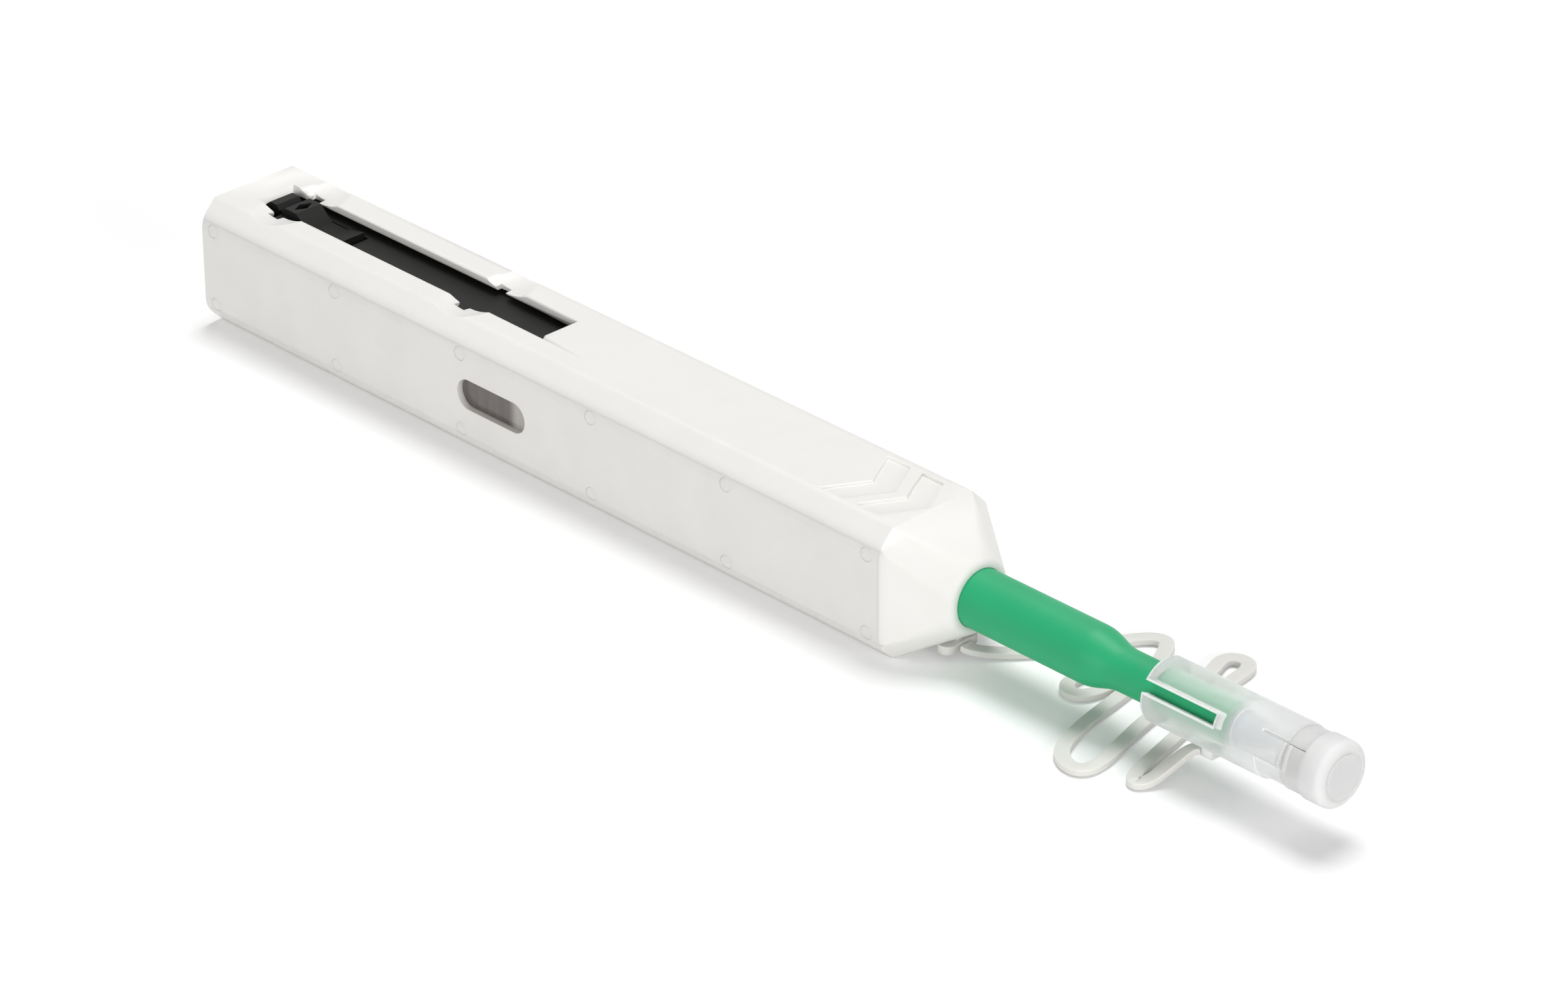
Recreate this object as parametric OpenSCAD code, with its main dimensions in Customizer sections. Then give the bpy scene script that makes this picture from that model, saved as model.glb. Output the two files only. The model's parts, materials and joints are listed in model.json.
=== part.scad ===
// A one-click cleaning pen for 2.5 mm fibre optic ferrules.
// The pen lies along X with its nozzle towards +X, on its flat underside.
// Pieces are drawn from the rear face forward, with the pen's own axis at y = 0 and z = 0.
// in_frame() then puts the origin at the middle of the flat underside.

/* [Case] */
// Length of the straight case, from the rear face to the start of the nose
case_l = 125.5; // [123:0.5:140]
// Width of the case
case_w = 18; // [17.6:0.1:20]
// Height of the case
case_h = 17.7; // [17.4:0.1:20]
// Leg of the bevel along the four long edges
case_chamfer = 2.4; // [2.2:0.1:2.5]
// Wall of the case
case_wall = 1.3; // [1.1:0.1:1.4]
// Length of the tapered nose
nose_l = 8.1; // [7:0.1:14]
// Outer diameter of the nose where the nozzle leaves it
nose_tip_d = 9.2; // [8.8:0.1:11]
// Length of the guide land round the nozzle
nose_land_l = 4; // [2:0.1:5]

/* [Slot and stations] */
// Distance of the slot's rear end from the rear face
slot_rear = 4.4; // [3.5:0.1:5]
// Length of the slot
slot_l = 55.3; // [54:0.1:60]
// Width of the slot
slot_w = 6.1; // [5.4:0.1:6.6]
// Place of the rear latch station
station_x = 8.6; // [8.5:0.1:9]
// Travel from the short station to the long one
station_step = 36.5; // [20:0.1:36.5]
// Length of a station's notch along the pen
notch_l = 1.9; // [1.8:0.1:2.6]
// Depth of a notch beyond the side of the slot
notch_depth = 1; // [0.95:0.05:1.4]
// Depth of a finger dish on the centre line
dish_depth = 1.1; // [0.6:0.1:1.1]
// Length of a finger dish along the pen
dish_l = 8.8; // [7:0.1:10]
// Radius of a finger dish across the pen
dish_cross_r = 30; // [28:1:40]
// Distance of a dish's middle ahead of its station
dish_shift = 0.9; // [0:0.1:1]

/* [Arrows] */
// Depth of the two arrow recesses
arrow_depth = 0.35; // [0.1:0.05:0.6]
// Length of an arrow's arm along the pen
arrow_l = 3.8; // [3:0.1:5]
// Half width of an arrow
arrow_half_w = 5.6; // [4:0.1:6]
// Sweep of the arms from square
arrow_sweep = 29.5; // [20:0.5:35]
// Distance from one arrow to the next
arrow_step = 5.8; // [5.6:0.1:7]
// Distance from the front arrow's point to the nose
arrow_gap = 0.4; // [0.3:0.1:3]

/* [Cover and its pins] */
// Length of the window
window_l = 12.7; // [8:0.1:14]
// Height of the window
window_h = 4.2; // [3:0.1:4.6]
// Overlap of the lens round the window
lens_lap = 0.7; // [0.5:0.1:1]
// Thickness of the lens
lens_t = 0.4; // [0.3:0.1:0.6]
// Diameter of a cover pin
pin_d = 1.9; // [1.4:0.1:2]
// Length of a cover pin
pin_l = 3; // [2.5:0.1:3.2]
// Place of the rear pair of pins
pin_x = 2.1; // [2:0.1:3]
// Pairs of pins along the cover
pin_count = 6; // [4:1:8]
// Wall between a pin and the long edge of the cover
pin_edge = 0.15; // [0.1:0.05:0.3]
// Diameter of the boss round a pin
boss_d = 3.8; // [3:0.1:3.8]

/* [Carriage] */
// Distance of the carriage's rear end from the rear face
carriage_rear = 4.6; // [4.3:0.1:5]
// Length of the carriage
carriage_l = 81.4; // [81:0.1:82]
// Depth of the carriage's top below the top of the case
carriage_drop = 2; // [1.9:0.1:2.4]
// Thickness of the top rail
rail_t = 1.44; // [1.2:0.02:1.6]
// Thickness of the floor rail
floor_t = 0.6; // [0.5:0.1:0.7]
// Clearance under the floor rail
floor_gap = 0.6; // [0.5:0.05:0.8]
// Thickness of the side plates
plate_t = 1; // [0.8:0.1:1.2]
// Place of the far plate's inner face from the axis plane
far_y = 5.4; // [5.3:0.05:5.6]
// Place of the near plate's inner face from the axis plane
near_y = 5; // [4.9:0.05:5.1]
// Half height of the near plate
near_half_h = 3.3; // [3:0.05:3.4]
// Length of the front block
front_block_l = 5.4; // [4:0.1:5.6]
// Thickness of the rear wall and of the bulkhead
bulkhead_t = 1.5; // [1:0.1:1.8]
// Length of the room for the return spring
spring_room = 13; // [12.5:0.5:13.5]
// Length of the rib behind the button
rib_l = 2.8; // [2:0.1:3.4]
// Width of that rib
rib_w = 3.8; // [3.4:0.1:5]
// Diameter of a post
post_d = 2.8; // [2.6:0.1:3]
// Diameter of a plate screw's thread
screw_d = 1.2; // [0.8:0.1:1.4]
// Length of a plate screw under its head
screw_l = 3; // [2:0.1:3.2]
// Diameter of a plate screw's head
screw_head_d = 2.2; // [1.8:0.1:2.4]
// Height of a plate screw's head
screw_head_h = 0.6; // [0.4:0.1:0.7]

/* [Latch] */
// Length of the button pad along the pen
button_l = 3; // [2.6:0.1:3.2]
// Width of the button pad
button_w = 4.2; // [3.6:0.1:4.6]
// Distance of the button's top below the top of the case
button_drop = 0.2; // [0.1:0.1:0.6]
// Length of the grained ramp
ramp_l = 2.3; // [1.5:0.1:2.5]
// Thickness of the spring arm
arm_t = 0.8; // [0.6:0.1:1]
// Length of a locking lug along the pen
lug_l = 1.4; // [1.2:0.1:1.5]
// Reach of a lug beyond the side of the slot
lug_reach = 0.8; // [0.6:0.05:0.85]
// Thickness of a lug
lug_t = 0.85; // [0.6:0.05:1]
// Place of the latch's pivot
pivot_x = 18.7; // [18:0.1:19.2]
// Diameter of the latch's pivot
pivot_d = 1.6; // [1.2:0.1:1.8]

/* [Reels] */
// Distance from the supply reel's axle to the bulkhead ahead of it
supply_gap = 7.6; // [7:0.1:8]
// Place of the take-up reel's axle, as a share of the way from the latch to the supply reel's
takeup_share = 0.376; // [0.34:0.002:0.4]
// Height of the reel axles from the pen's axis
reel_z = -0.2; // [-0.3:0.05:-0.1]
// Diameter of a reel's flanges
flange_d = 9.6; // [8:0.1:9.8]
// Thickness of a reel's flange
flange_t = 0.6; // [0.4:0.1:0.8]
// Diameter of a reel's hub
hub_d = 4; // [3:0.1:4.2]
// Diameter of a reel's axle
axle_d = 2; // [1.2:0.1:2.2]
// Diameter of the thread wound on the full supply reel
supply_wound_d = 8.4; // [6:0.1:8.8]
// Diameter of the thread wound on the take-up reel
takeup_wound_d = 5.2; // [4.6:0.1:7]
// Module of the gear and the rack
gear_module = 0.8; // [0.7:0.05:0.8]
// Width of the gear's teeth
gear_w = 2.2; // [1.8:0.1:2.3]
// Width of the rack
rack_w = 1.8; // [1.4:0.1:2]

/* [Nozzle] */
// Diameter of the green nozzle tube
tube_d = 7.6; // [7.2:0.1:7.7]
// Distance that the tube stands out of the nose before its shoulder
tube_out = 18.7; // [12:0.1:24]
// Length of the shoulder
shoulder_l = 5.4; // [3:0.1:8]
// Diameter of the neck
neck_d = 5.4; // [5:0.1:5.6]
// Length of the neck
neck_l = 17.7; // [15:0.1:24]
// Bore of the tube
tube_bore_d = 4.4; // [4.2:0.1:4.6]
// Push stroke of the nozzle
push_stroke = 7; // [3:0.1:7]
// Diameter of the slider's flange
slider_flange_d = 8.8; // [8:0.1:9]
// Thickness of the slider's flange
slider_flange_t = 2; // [1.4:0.1:2.4]
// Diameter of the slider's stem
stem_d = 3.2; // [2.8:0.1:3.4]
// Length of the slider's stem
stem_l = 8.5; // [7:0.1:9]
// Diameter of the bore for the thread through the slider
stem_bore_d = 1.4; // [1:0.1:1.6]
// Length of the slider's spigot in the tube
spigot_l = 6; // [4:0.1:8]
// Mean diameter of the return spring
spring_d = 5.9; // [5.2:0.1:6.2]
// Diameter of the spring's wire
spring_wire_d = 0.6; // [0.4:0.1:0.8]
// Curls of the return spring
spring_curls = 7; // [5:1:9]

/* [Tip] */
// Diameter of the cleaning tip, for a 2.5 mm adaptor sleeve
tip_d = 2.5; // [2.4:0.02:2.5]
// Diameter of the tip's shaft behind its head
shaft_d = 2; // [1.9:0.05:2.1]
// Distance that the tip stands out of the neck
tip_out = 5.3; // [4.6:0.1:6]
// Diameter of the sleeve round the tip
sleeve_d = 3.5; // [3.2:0.1:3.8]
// Distance that the sleeve stands out of the neck
sleeve_out = 2.6; // [1:0.1:3]
// Length of the sleeve inside the neck
sleeve_seat_l = 4.3; // [3:0.1:6]
// Diameter of the collar at the rear of the tip's shaft
collar_d = 4; // [3.6:0.1:4.2]
// Length of the collar
collar_l = 4; // [2:0.1:6]
// Diameter of the cleaning thread
thread_d = 0.36; // [0.2:0.02:0.4]

/* [Cap] */
// Outer diameter of the cap
cap_d = 8.4; // [8:0.1:9]
// Distance of the cap's rim from the start of the neck
cap_rim_gap = 5.9; // [3:0.1:6.5]
// Length of the cap's skirt
skirt_l = 17.6; // [17:0.1:20]
// Length of the cap ahead of its skirt, up to its front face
cap_neck_l = 6.6; // [6.2:0.1:7.4]
// Diameter across the relief round the hinge
cap_neck_d = 7.7; // [7.4:0.1:7.8]
// Angle of the relief's middle from the top towards the near side
relief_angle = 119; // [112:1:124]
// Angle that the relief spans
relief_span = 162; // [150:1:170]
// Diameter of the part that the lid's skirt closes round
skirt_seat_d = 6.5; // [6.2:0.1:6.6]
// Width of the slits in the skirt
slit_w = 1.5; // [0.8:0.1:2]
// Length of the slits
slit_l = 11.1; // [8:0.1:12]
// Angle of the slit from the top towards the near side
slit_angle = 62; // [50:1:75]
// Bore ahead of the neck, round the tip
cap_room_d = 4.8; // [4.4:0.1:5]
// Thickness of the cap's front wall
cap_front_t = 3.6; // [2.8:0.1:4]
// Diameter of the port that a bare ferrule goes in through
port_d = 2.56; // [2.54:0.01:2.7]
// Travel of the cap as it is pulled off
cap_travel = 25; // [19:0.5:30]

/* [Lid] */
// Length of the lid
lid_l = 3.4; // [3:0.1:7]
// Wall of the lid
lid_wall = 0.75; // [0.6:0.05:0.9]
// Rounding of the lid's front edge
lid_round = 1; // [0.5:0.1:1.4]
// Height of the seat that the lid closes round
lid_seat_h = 0.8; // [0.5:0.1:1]
// Clearance between the lid and its seat
lid_seat_gap = 0.45; // [0.4:0.05:0.6]
// Angle of the hinge from the top towards the near side
hinge_angle = 65; // [55:1:75]
// Angle that the hinge strap spans round the cap
hinge_span = 42; // [30:1:50]
// Wall of the lid's skirt
lid_skirt_t = 0.4; // [0.3:0.05:0.45]
// Angle left open between the skirt and either side of the hinge
hinge_slit = 2; // [1:0.5:4]

/* [Tether] */
// Width of the strap
strap_w = 1.9; // [1.6:0.1:2]
// Thickness of the strap
strap_t = 0.8; // [0.6:0.1:0.9]
// Diameter of a lobe of the end tab
lobe_d = 2.4; // [2.2:0.1:2.8]
// Distance between the lobes
lobe_step = 3.4; // [3:0.1:4]
// Diameter of the peg under the nose
peg_d = 1.2; // [0.8:0.1:1.2]

/* [Hidden] */

// Overrun of a cut past the face that it opens
cut = 1;
// Thin slice that a blended solid starts or ends with
slice = 0.02;
// Running clearance, on the radius
run_gap = 0.05;
// Clearance of pieces that slide past each other
slide_gap = 0.1;
// Clearance of pressed pieces, on the radius
press_gap = 0.01;
// Facets of round solids
round_n = 96;
// Facets of small round solids
small_n = 48;
// Facets of the round end of a blended solid
blend_n = 64;

// Derived places of the case
half_w = case_w / 2;
half_h = case_h / 2;
in_half_w = half_w - case_wall;
in_half_h = half_h - case_wall;
corner_share = 2 - sqrt(2);
in_chamfer = case_chamfer - case_wall * corner_share;
nose_end = case_l + nose_l;
nose_bore_r = tube_d / 2 + run_gap;
nose_room_r = nose_bore_r + case_wall / 2;
slot_front = slot_rear + slot_l;
notch_half_w = slot_w / 2 + notch_depth;
dish_r = (dish_l * dish_l / 4 + dish_depth * dish_depth) / (2 * dish_depth);
flat_half_h = half_h - case_chamfer;
pin_step = (case_l - 2 * pin_x) / (pin_count - 1);
pin_z = flat_half_h - pin_d / 2 - pin_edge;
pin_xs = [for (i = [0:pin_count - 1]) pin_x + i * pin_step];
boss_l = pin_l - case_wall + slide_gap;
arrow_xs = [for (i = [0:1]) case_l - arrow_gap - i * arrow_step];

// Derived places of the carriage
carriage_front = carriage_rear + carriage_l;
rail_top = half_h - carriage_drop;
rail_low = rail_top - rail_t;
floor_low = -in_half_h + floor_gap;
floor_top = floor_low + floor_t;
far_out = far_y + plate_t;
near_out = near_y + plate_t;
block_x = carriage_front - front_block_l;
flange_front = block_x - slide_gap;
flange_rear = flange_front - slider_flange_t;
bulkhead_front = flange_rear - spring_room;
bulkhead_x = bulkhead_front - bulkhead_t;
latch_room_x1 = pivot_x + pivot_d;
supply_x = bulkhead_x - supply_gap;
takeup_x = latch_room_x1 + takeup_share * (supply_x - latch_room_x1);
window_x = supply_x;
low_post_share = 0.55;
high_post_share = 0.6;
post_spots = [[takeup_x - 1.13 * flange_d, -low_post_share * near_half_h],
    [(takeup_x + supply_x) / 2, high_post_share * near_half_h]];
screw_spots = [post_spots[0], post_spots[1], [bulkhead_x + bulkhead_t / 2, 0]];
plate_rear = post_spots[0][0] - post_d;
plate_front = carriage_front - slide_gap;
view_l = window_l + slide_gap;
view_half_h = near_half_h - screw_head_h;

// Derived places of the latch
lug_x0 = station_x - lug_l / 2;
lug_x1 = station_x + lug_l / 2;
button_x0 = lug_x0 + slide_gap;
button_x1 = button_x0 + button_l;
button_top = half_h - button_drop;
lug_top = in_half_h - slide_gap;
lug_low = lug_top - lug_t;
arm_top = rail_top - slide_gap;
arm_low = arm_top - arm_t;
arm_half_w = button_w / 2;
wedge_x1 = pivot_x + pivot_d * 0.6;
wedge_x0 = wedge_x1 - button_l * 1.2;
wedge_rise = arm_t;
pivot_z = arm_low - pivot_d / 4;
latch_room_x0 = button_x0 - slide_gap - run_gap;
latch_room_half_w = arm_half_w + slide_gap;
lug_half_w = slot_w / 2 + lug_reach;
cheek_w = 1.8;
cheek_l = 3.2;
cheek_low = pivot_z - pivot_d;
pivot_half_l = latch_room_half_w + cheek_w * 0.8;

// Derived places of the reels, the gear and the rack
reel_near = -near_y + 2 * slide_gap;
gear_near = far_y - slide_gap * 5 - gear_w;
reel_far = gear_near;
flange_r = flange_d / 2;
gear_teeth = 10;
gear_pitch_r = gear_teeth * gear_module / 2;
gear_tip_r = gear_pitch_r + gear_module * 0.9;
gear_root_r = gear_pitch_r - gear_module * 1.25;
rack_pitch_z = reel_z - gear_pitch_r;
rack_tip_z = rack_pitch_z + gear_module * 0.9;
rack_root_z = rack_pitch_z - gear_module * 1.25;
rack_low = floor_top + slide_gap;
rack_step = PI * gear_module;
rack_near = far_y - slide_gap * 6 - rack_w;
rack_far = rack_near + rack_w;
rack_tooth_count = 6;

// Derived places of the nozzle
shoulder_x = nose_end + tube_out;
neck_x = shoulder_x + shoulder_l;
neck_end = neck_x + neck_l;
tube_r = tube_d / 2;
neck_r = neck_d / 2;
tip_r = tip_d / 2;
shaft_r = shaft_d / 2;
shaft_bore_r = shaft_r + run_gap;
tip_head_x = neck_end + sleeve_out + slide_gap;
sleeve_r = sleeve_d / 2;
neck_bore_x = shoulder_x + shoulder_l / 2;
tip_end = neck_end + tip_out;
collar_x = neck_bore_x - collar_l - slide_gap;
lane = shaft_bore_r - thread_d / 2 - run_gap / 2;
lane_floor = lane - thread_d / 2 - run_gap / 2;
stem_lane = stem_bore_d / 4;
stem_x = flange_rear - stem_l;
spigot_x = flange_front + spigot_l;
leg_t = slider_flange_t * 0.7;

// Derived places of the cap and the lid
cap_rim = neck_x + cap_rim_gap;
cap_step = cap_rim + skirt_l;
cap_front = cap_step + cap_neck_l;
cap_r = cap_d / 2;
cap_neck_r = cap_neck_d / 2;
cap_bore_r = neck_r + run_gap;
cap_room_x = neck_end + slide_gap * 8;
cap_room_end = cap_front - cap_front_t;
seat_r = cap_r - lid_wall - lid_seat_gap;
lid_x = cap_front + slide_gap;
lid_end = lid_x + lid_l;
hinge_share = 0.629;
hinge_x = cap_step + cap_neck_l * hinge_share;
cap_collar_x = hinge_x - slide_gap * 2.5;
skirt_seat_r = skirt_seat_d / 2;
hinge_r = cap_r;
hinge_low_r = cap_r - run_gap * 5;
rib_t = 0.4;
rib_h = 0.2;
lid_skirt_x = cap_collar_x + slide_gap;
lid_skirt_r = cap_r - run_gap * 4;
ring_groove_share = 0.66;
ring_groove_w = 0.3;
ring_groove_depth = 0.15;

// Derived places of the tether, whose flat underside lies on the ground
ground = -half_h;
tab_spot_x = case_l + nose_l * 0.54;
tab_low = ground + strap_t;
tab_t = strap_t * 1.4;
lug_block_x = neck_end - neck_l * 0.257;
lug_block_l = strap_w * 0.9;
lug_block_h = strap_t * 1.25;
lug_block_y = -0.6;

// The strap's own route: [from the rear face, from the axis plane, above the ground]
strap_route = [
    [131.2, 0, 1.3], [132.1, 0.2, 1.1], [133.8, 2.1, 0.6], [136.4, 5.0, 0.5], [138.8, 8.3, 0.5],
    [141.0, 12.4, 0.5], [142.8, 15.8, 0.5], [144.6, 18.3, 0.5], [146.3, 18.8, 0.5], [147.5, 17.6, 0.5],
    [148.8, 15.2, 0.5], [149.8, 12.8, 0.5], [149.0, 10.8, 0.5], [146.8, 9.2, 0.5], [145.2, 7.0, 0.5],
    [144.8, 4.4, 0.5], [145.5, 2.5, 0.5], [147.2, 1.9, 0.5], [148.6, 3.2, 0.5], [149.0, 5.6, 0.5],
    [149.4, 7.6, 0.5], [150.7, 7.8, 0.5], [151.4, 5.6, 0.5], [152.8, -1.7, 0.5], [154.6, -7.3, 0.5],
    [156.5, -9.6, 0.5], [159.0, -10.4, 0.5], [160.4, -9.2, 0.5], [160.2, -6.2, 0.5], [158.9, -1.6, 0.5],
    [157.5, 3.4, 0.5], [156.3, 10.0, 0.5], [155.3, 16.8, 0.5], [154.1, 20.0, 0.5], [154.8, 21.7, 0.5],
    [156.7, 22.0, 0.5], [157.9, 20.4, 0.5], [158.3, 16.8, 0.5], [160.3, 10.0, 0.5], [162.5, 3.3, 0.5],
    [164.2, -3.4, 0.5], [165.2, -6.6, 0.5], [166.4, -7.6, 0.5], [167.2, -6.5, 0.6],
    [167.8, -4.9, 1.4], [168.6, -2.8, 2.8], [169.4, -1.3, 3.8], [170.5, -0.8, 4.1]];

// Frames and simple solids

module in_frame() {
    translate([-case_l / 2, 0, half_h])
        children();
}

module disc_x(x, r, l, n = round_n) {
    translate([x, 0, 0])
        rotate([0, 90, 0])
            cylinder(h = l, r = r, $fn = n);
}

module disc_y(x, z, y, r, l, n = small_n) {
    translate([x, y, z])
        rotate([-90, 0, 0])
            cylinder(h = l, r = r, $fn = n);
}

module box(x0, x1, y0, y1, z0, z1) {
    translate([x0, y0, z0])
        cube([x1 - x0, y1 - y0, z1 - z0]);
}

module along_x(x, l) {
    translate([x, 0, 0])
        rotate([90, 0, 90])
            linear_extrude(height = l)
                children();
}

module across_y(y, l) {
    translate([0, y + l, 0])
        rotate([90, 0, 0])
            linear_extrude(height = l)
                children();
}

// A ring sector round the pen's axis, by its angle from the top towards the near side
module arc_x(angle, span, x, l, r0, r1) {
    translate([x, 0, 0])
        rotate([0, 90, 0])
            rotate([0, 0, 180 + angle - span / 2])
                rotate_extrude(angle = span, $fn = round_n)
                    translate([r0, 0])
                        square([r1 - r0, l]);
}

// A turned solid, from points of [radius, place along the pen]
module turned(points) {
    rotate([0, 90, 0])
        rotate_extrude($fn = round_n)
            polygon(points);
}

function octagon(w, h, c) = [
    [-w / 2 + c, -h / 2], [w / 2 - c, -h / 2], [w / 2, -h / 2 + c], [w / 2, h / 2 - c],
    [w / 2 - c, h / 2], [-w / 2 + c, h / 2], [-w / 2, h / 2 - c], [-w / 2, -h / 2 + c]];

module case_outline() {
    polygon(octagon(case_w, case_h, case_chamfer));
}

module case_room() {
    polygon(octagon(2 * in_half_w, 2 * in_half_h, in_chamfer));
}

// A finger dish: the underside of a large ring that stands over the case
module dish(x) {
    translate([x, 0, half_h - dish_depth + dish_cross_r])
        rotate([0, 90, 0])
            rotate_extrude($fn = round_n * 2)
                translate([dish_cross_r - dish_r, 0])
                    circle(r = dish_r, $fn = round_n * 2);
}

module notch(x) {
    box(x - notch_l / 2, x + notch_l / 2, -notch_half_w, notch_half_w, 0, half_h + cut);
}

module arrow(x) {
    sweep = arrow_half_w * tan(arrow_sweep);
    translate([0, 0, half_h - arrow_depth])
        linear_extrude(height = arrow_depth + cut)
            polygon([[x, 0], [x - sweep, arrow_half_w], [x - sweep - arrow_l, arrow_half_w],
                [x - arrow_l, 0], [x - sweep - arrow_l, -arrow_half_w], [x - sweep, -arrow_half_w]]);
}

module boss_row(r, y, l) {
    for (x = pin_xs) {
        for (side = [-1, 1]) {
            disc_y(x, side * pin_z, y, r, l);
        }
    }
}

// Pieces of the case

module case_shell() {
    difference() {
        union() {
            along_x(0, case_l) case_outline();
            hull() {
                along_x(case_l, slice) case_outline();
                disc_x(nose_end - slice, nose_tip_d / 2, slice, blend_n);
            }
        }
        along_x(case_wall, case_l - case_wall) case_room();
        hull() {
            along_x(case_l - slice, slice) case_room();
            disc_x(nose_end - nose_land_l, nose_room_r, slice, blend_n);
        }
        box(-cut, case_l, -half_w - cut, -in_half_w, -flat_half_h, flat_half_h);
    }
}

module pin_bosses() {
    intersection() {
        boss_row(boss_d / 2, -in_half_w, boss_l);
        along_x(0, case_l) case_outline();
    }
}

module nose_peg() {
    translate([tab_spot_x, 0, tab_low])
        cylinder(h = half_h - tube_r - tab_t, r = peg_d / 2, $fn = small_n);
}

module case_body() {
    color("whitesmoke") {
        difference() {
            union() {
                case_shell();
                pin_bosses();
                nose_peg();
            }
            disc_x(case_l, nose_bore_r, nose_l + cut);
            box(slot_rear, slot_front, -slot_w / 2, slot_w / 2, 0, half_h + cut);
            notch(station_x);
            notch(station_x + station_step);
            dish(station_x + dish_shift);
            dish(station_x + station_step + dish_shift);
            for (x = arrow_xs) {
                arrow(x);
            }
            boss_row(pin_d / 2, -half_w - cut, pin_l + cut);
        }
    }
}

module window_shape(grow) {
    hull() {
        for (side = [-1, 1]) {
            translate([window_x + side * (window_l - window_h) / 2, 0])
                circle(r = window_h / 2 + grow, $fn = small_n);
        }
    }
}

module case_cover() {
    color("gainsboro") {
        difference() {
            box(0, case_l, -half_w, -in_half_w, -flat_half_h, flat_half_h);
            boss_row(pin_d / 2, -half_w - cut, case_wall + 2 * cut);
            across_y(-half_w - cut, case_wall + 2 * cut) window_shape(0);
            across_y(-in_half_w - lens_t, lens_t + cut) window_shape(lens_lap);
        }
    }
}

module cover_pins() {
    color("white") {
        boss_row(pin_d / 2 - press_gap, -half_w, pin_l);
    }
}

module window_lens() {
    color("lightsteelblue", 0.4) {
        across_y(-in_half_w - lens_t, lens_t) window_shape(lens_lap - run_gap);
    }
}

// Pieces of the carriage

module latch_room() {
    box(latch_room_x0, latch_room_x1, -latch_room_half_w, latch_room_half_w, 0, half_h);
    box(lug_x0 - notch_l / 4, lug_x1 + notch_l / 4, -near_y - cut, lug_half_w + slide_gap, 0, half_h);
}

module rear_rib() {
    rib_x1 = carriage_rear + rib_l;
    rib_top = half_h - 2 * button_drop;
    across_y(-rib_w / 2, rib_w)
        polygon([[carriage_rear, rail_low], [rib_x1, rail_low], [rib_x1, rib_top - rib_l / 4],
            [rib_x1 - rib_l / 5, rib_top], [carriage_rear + rib_l / 3, rib_top],
            [carriage_rear, rib_top - rib_l / 4]]);
}

module latch_cheeks() {
    for (side = [-1, 1]) {
        y = side > 0 ? latch_room_half_w : -latch_room_half_w - cheek_w;
        box(pivot_x - cheek_l / 2, pivot_x + cheek_l / 2, y, y + cheek_w, cheek_low, rail_top);
    }
}

module posts(r) {
    for (p = post_spots) {
        disc_y(p[0], p[1], -near_y, r, near_y + far_y);
    }
}

module screw_holes(r, y, l) {
    for (p = screw_spots) {
        disc_y(p[0], p[1], y, r, l);
    }
}

module carriage_frame() {
    color("#222222") {
        difference() {
            union() {
                box(carriage_rear, carriage_front, -near_y, far_out, rail_low, rail_top);
                box(carriage_rear, carriage_front, -near_y, far_out, floor_low, floor_top);
                box(carriage_rear, carriage_front, far_y, far_out, floor_low, rail_top);
                box(carriage_rear, carriage_rear + bulkhead_t, -near_y, far_y, floor_low, rail_top);
                box(bulkhead_x, bulkhead_front, -near_y, far_y, floor_low, rail_top);
                box(block_x, carriage_front, -near_y, far_y, floor_low, rail_top);
                rear_rib();
                latch_cheeks();
                posts(post_d / 2);
            }
            latch_room();
            disc_y(pivot_x, pivot_z, -near_y - cut, pivot_d / 2 + run_gap, 2 * (near_y + cut));
            disc_x(block_x - cut, tube_r + run_gap, front_block_l + 2 * cut);
            disc_x(bulkhead_x - cut, stem_d / 2 + slide_gap, bulkhead_t + 2 * cut);
            box(bulkhead_x - cut, bulkhead_front + cut, rack_near - slide_gap, far_y, floor_top,
                rack_tip_z + slide_gap);
            box(block_x - cut, block_x + spigot_l, rack_near - slide_gap, far_y, floor_top, rack_root_z);
            disc_y(takeup_x, reel_z, far_y - cut, axle_d / 2, plate_t + 2 * cut);
            disc_y(supply_x, reel_z, far_y - cut, axle_d / 2, plate_t + 2 * cut);
            screw_holes(screw_d / 2, -near_y - cut, screw_l - plate_t + cut);
        }
    }
}

module carriage_plate() {
    color("#2b2b2b") {
        difference() {
            box(plate_rear, plate_front, -near_out, -near_y, -near_half_h, near_half_h);
            box(window_x - view_l / 2, window_x + view_l / 2, -near_out - cut, -near_y + cut,
                -view_half_h, view_half_h);
            disc_y(takeup_x, reel_z, -near_out - cut, axle_d / 2, plate_t + 2 * cut);
            screw_holes(screw_d / 2, -near_out - cut, plate_t + 2 * cut);
        }
    }
}

module plate_screws() {
    color("silver") {
        difference() {
            union() {
                screw_holes(screw_d / 2 - press_gap, -near_out, screw_l);
                screw_holes(screw_head_d / 2, -near_out - screw_head_h, screw_head_h);
            }
            for (p = screw_spots) {
                box(p[0] - screw_d / 8, p[0] + screw_d / 8, -near_out - cut, -near_out - screw_head_h / 2,
                    p[1] - screw_head_d, p[1] + screw_head_d);
            }
        }
    }
}

module reel_axles() {
    color("silver") {
        disc_y(takeup_x, reel_z, -near_out, axle_d / 2 - press_gap, near_out + far_out);
        disc_y(supply_x, reel_z, -near_y, axle_d / 2 - press_gap, near_y + far_out);
    }
}

// The latch: a button pad with two lugs, on an arm that turns on its own pivot

module button_recess() {
    recess_w = button_w * 0.72;
    recess_l = button_l * 0.26;
    mid_x = button_x0 + button_l * 0.66;
    translate([0, 0, button_top - 1.5 * arm_t])
        linear_extrude(height = 1.5 * arm_t + cut)
            polygon([[mid_x - recess_l, 0], [mid_x, -recess_w / 2], [mid_x + recess_l, 0],
                [mid_x, recess_w / 2]]);
}

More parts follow.
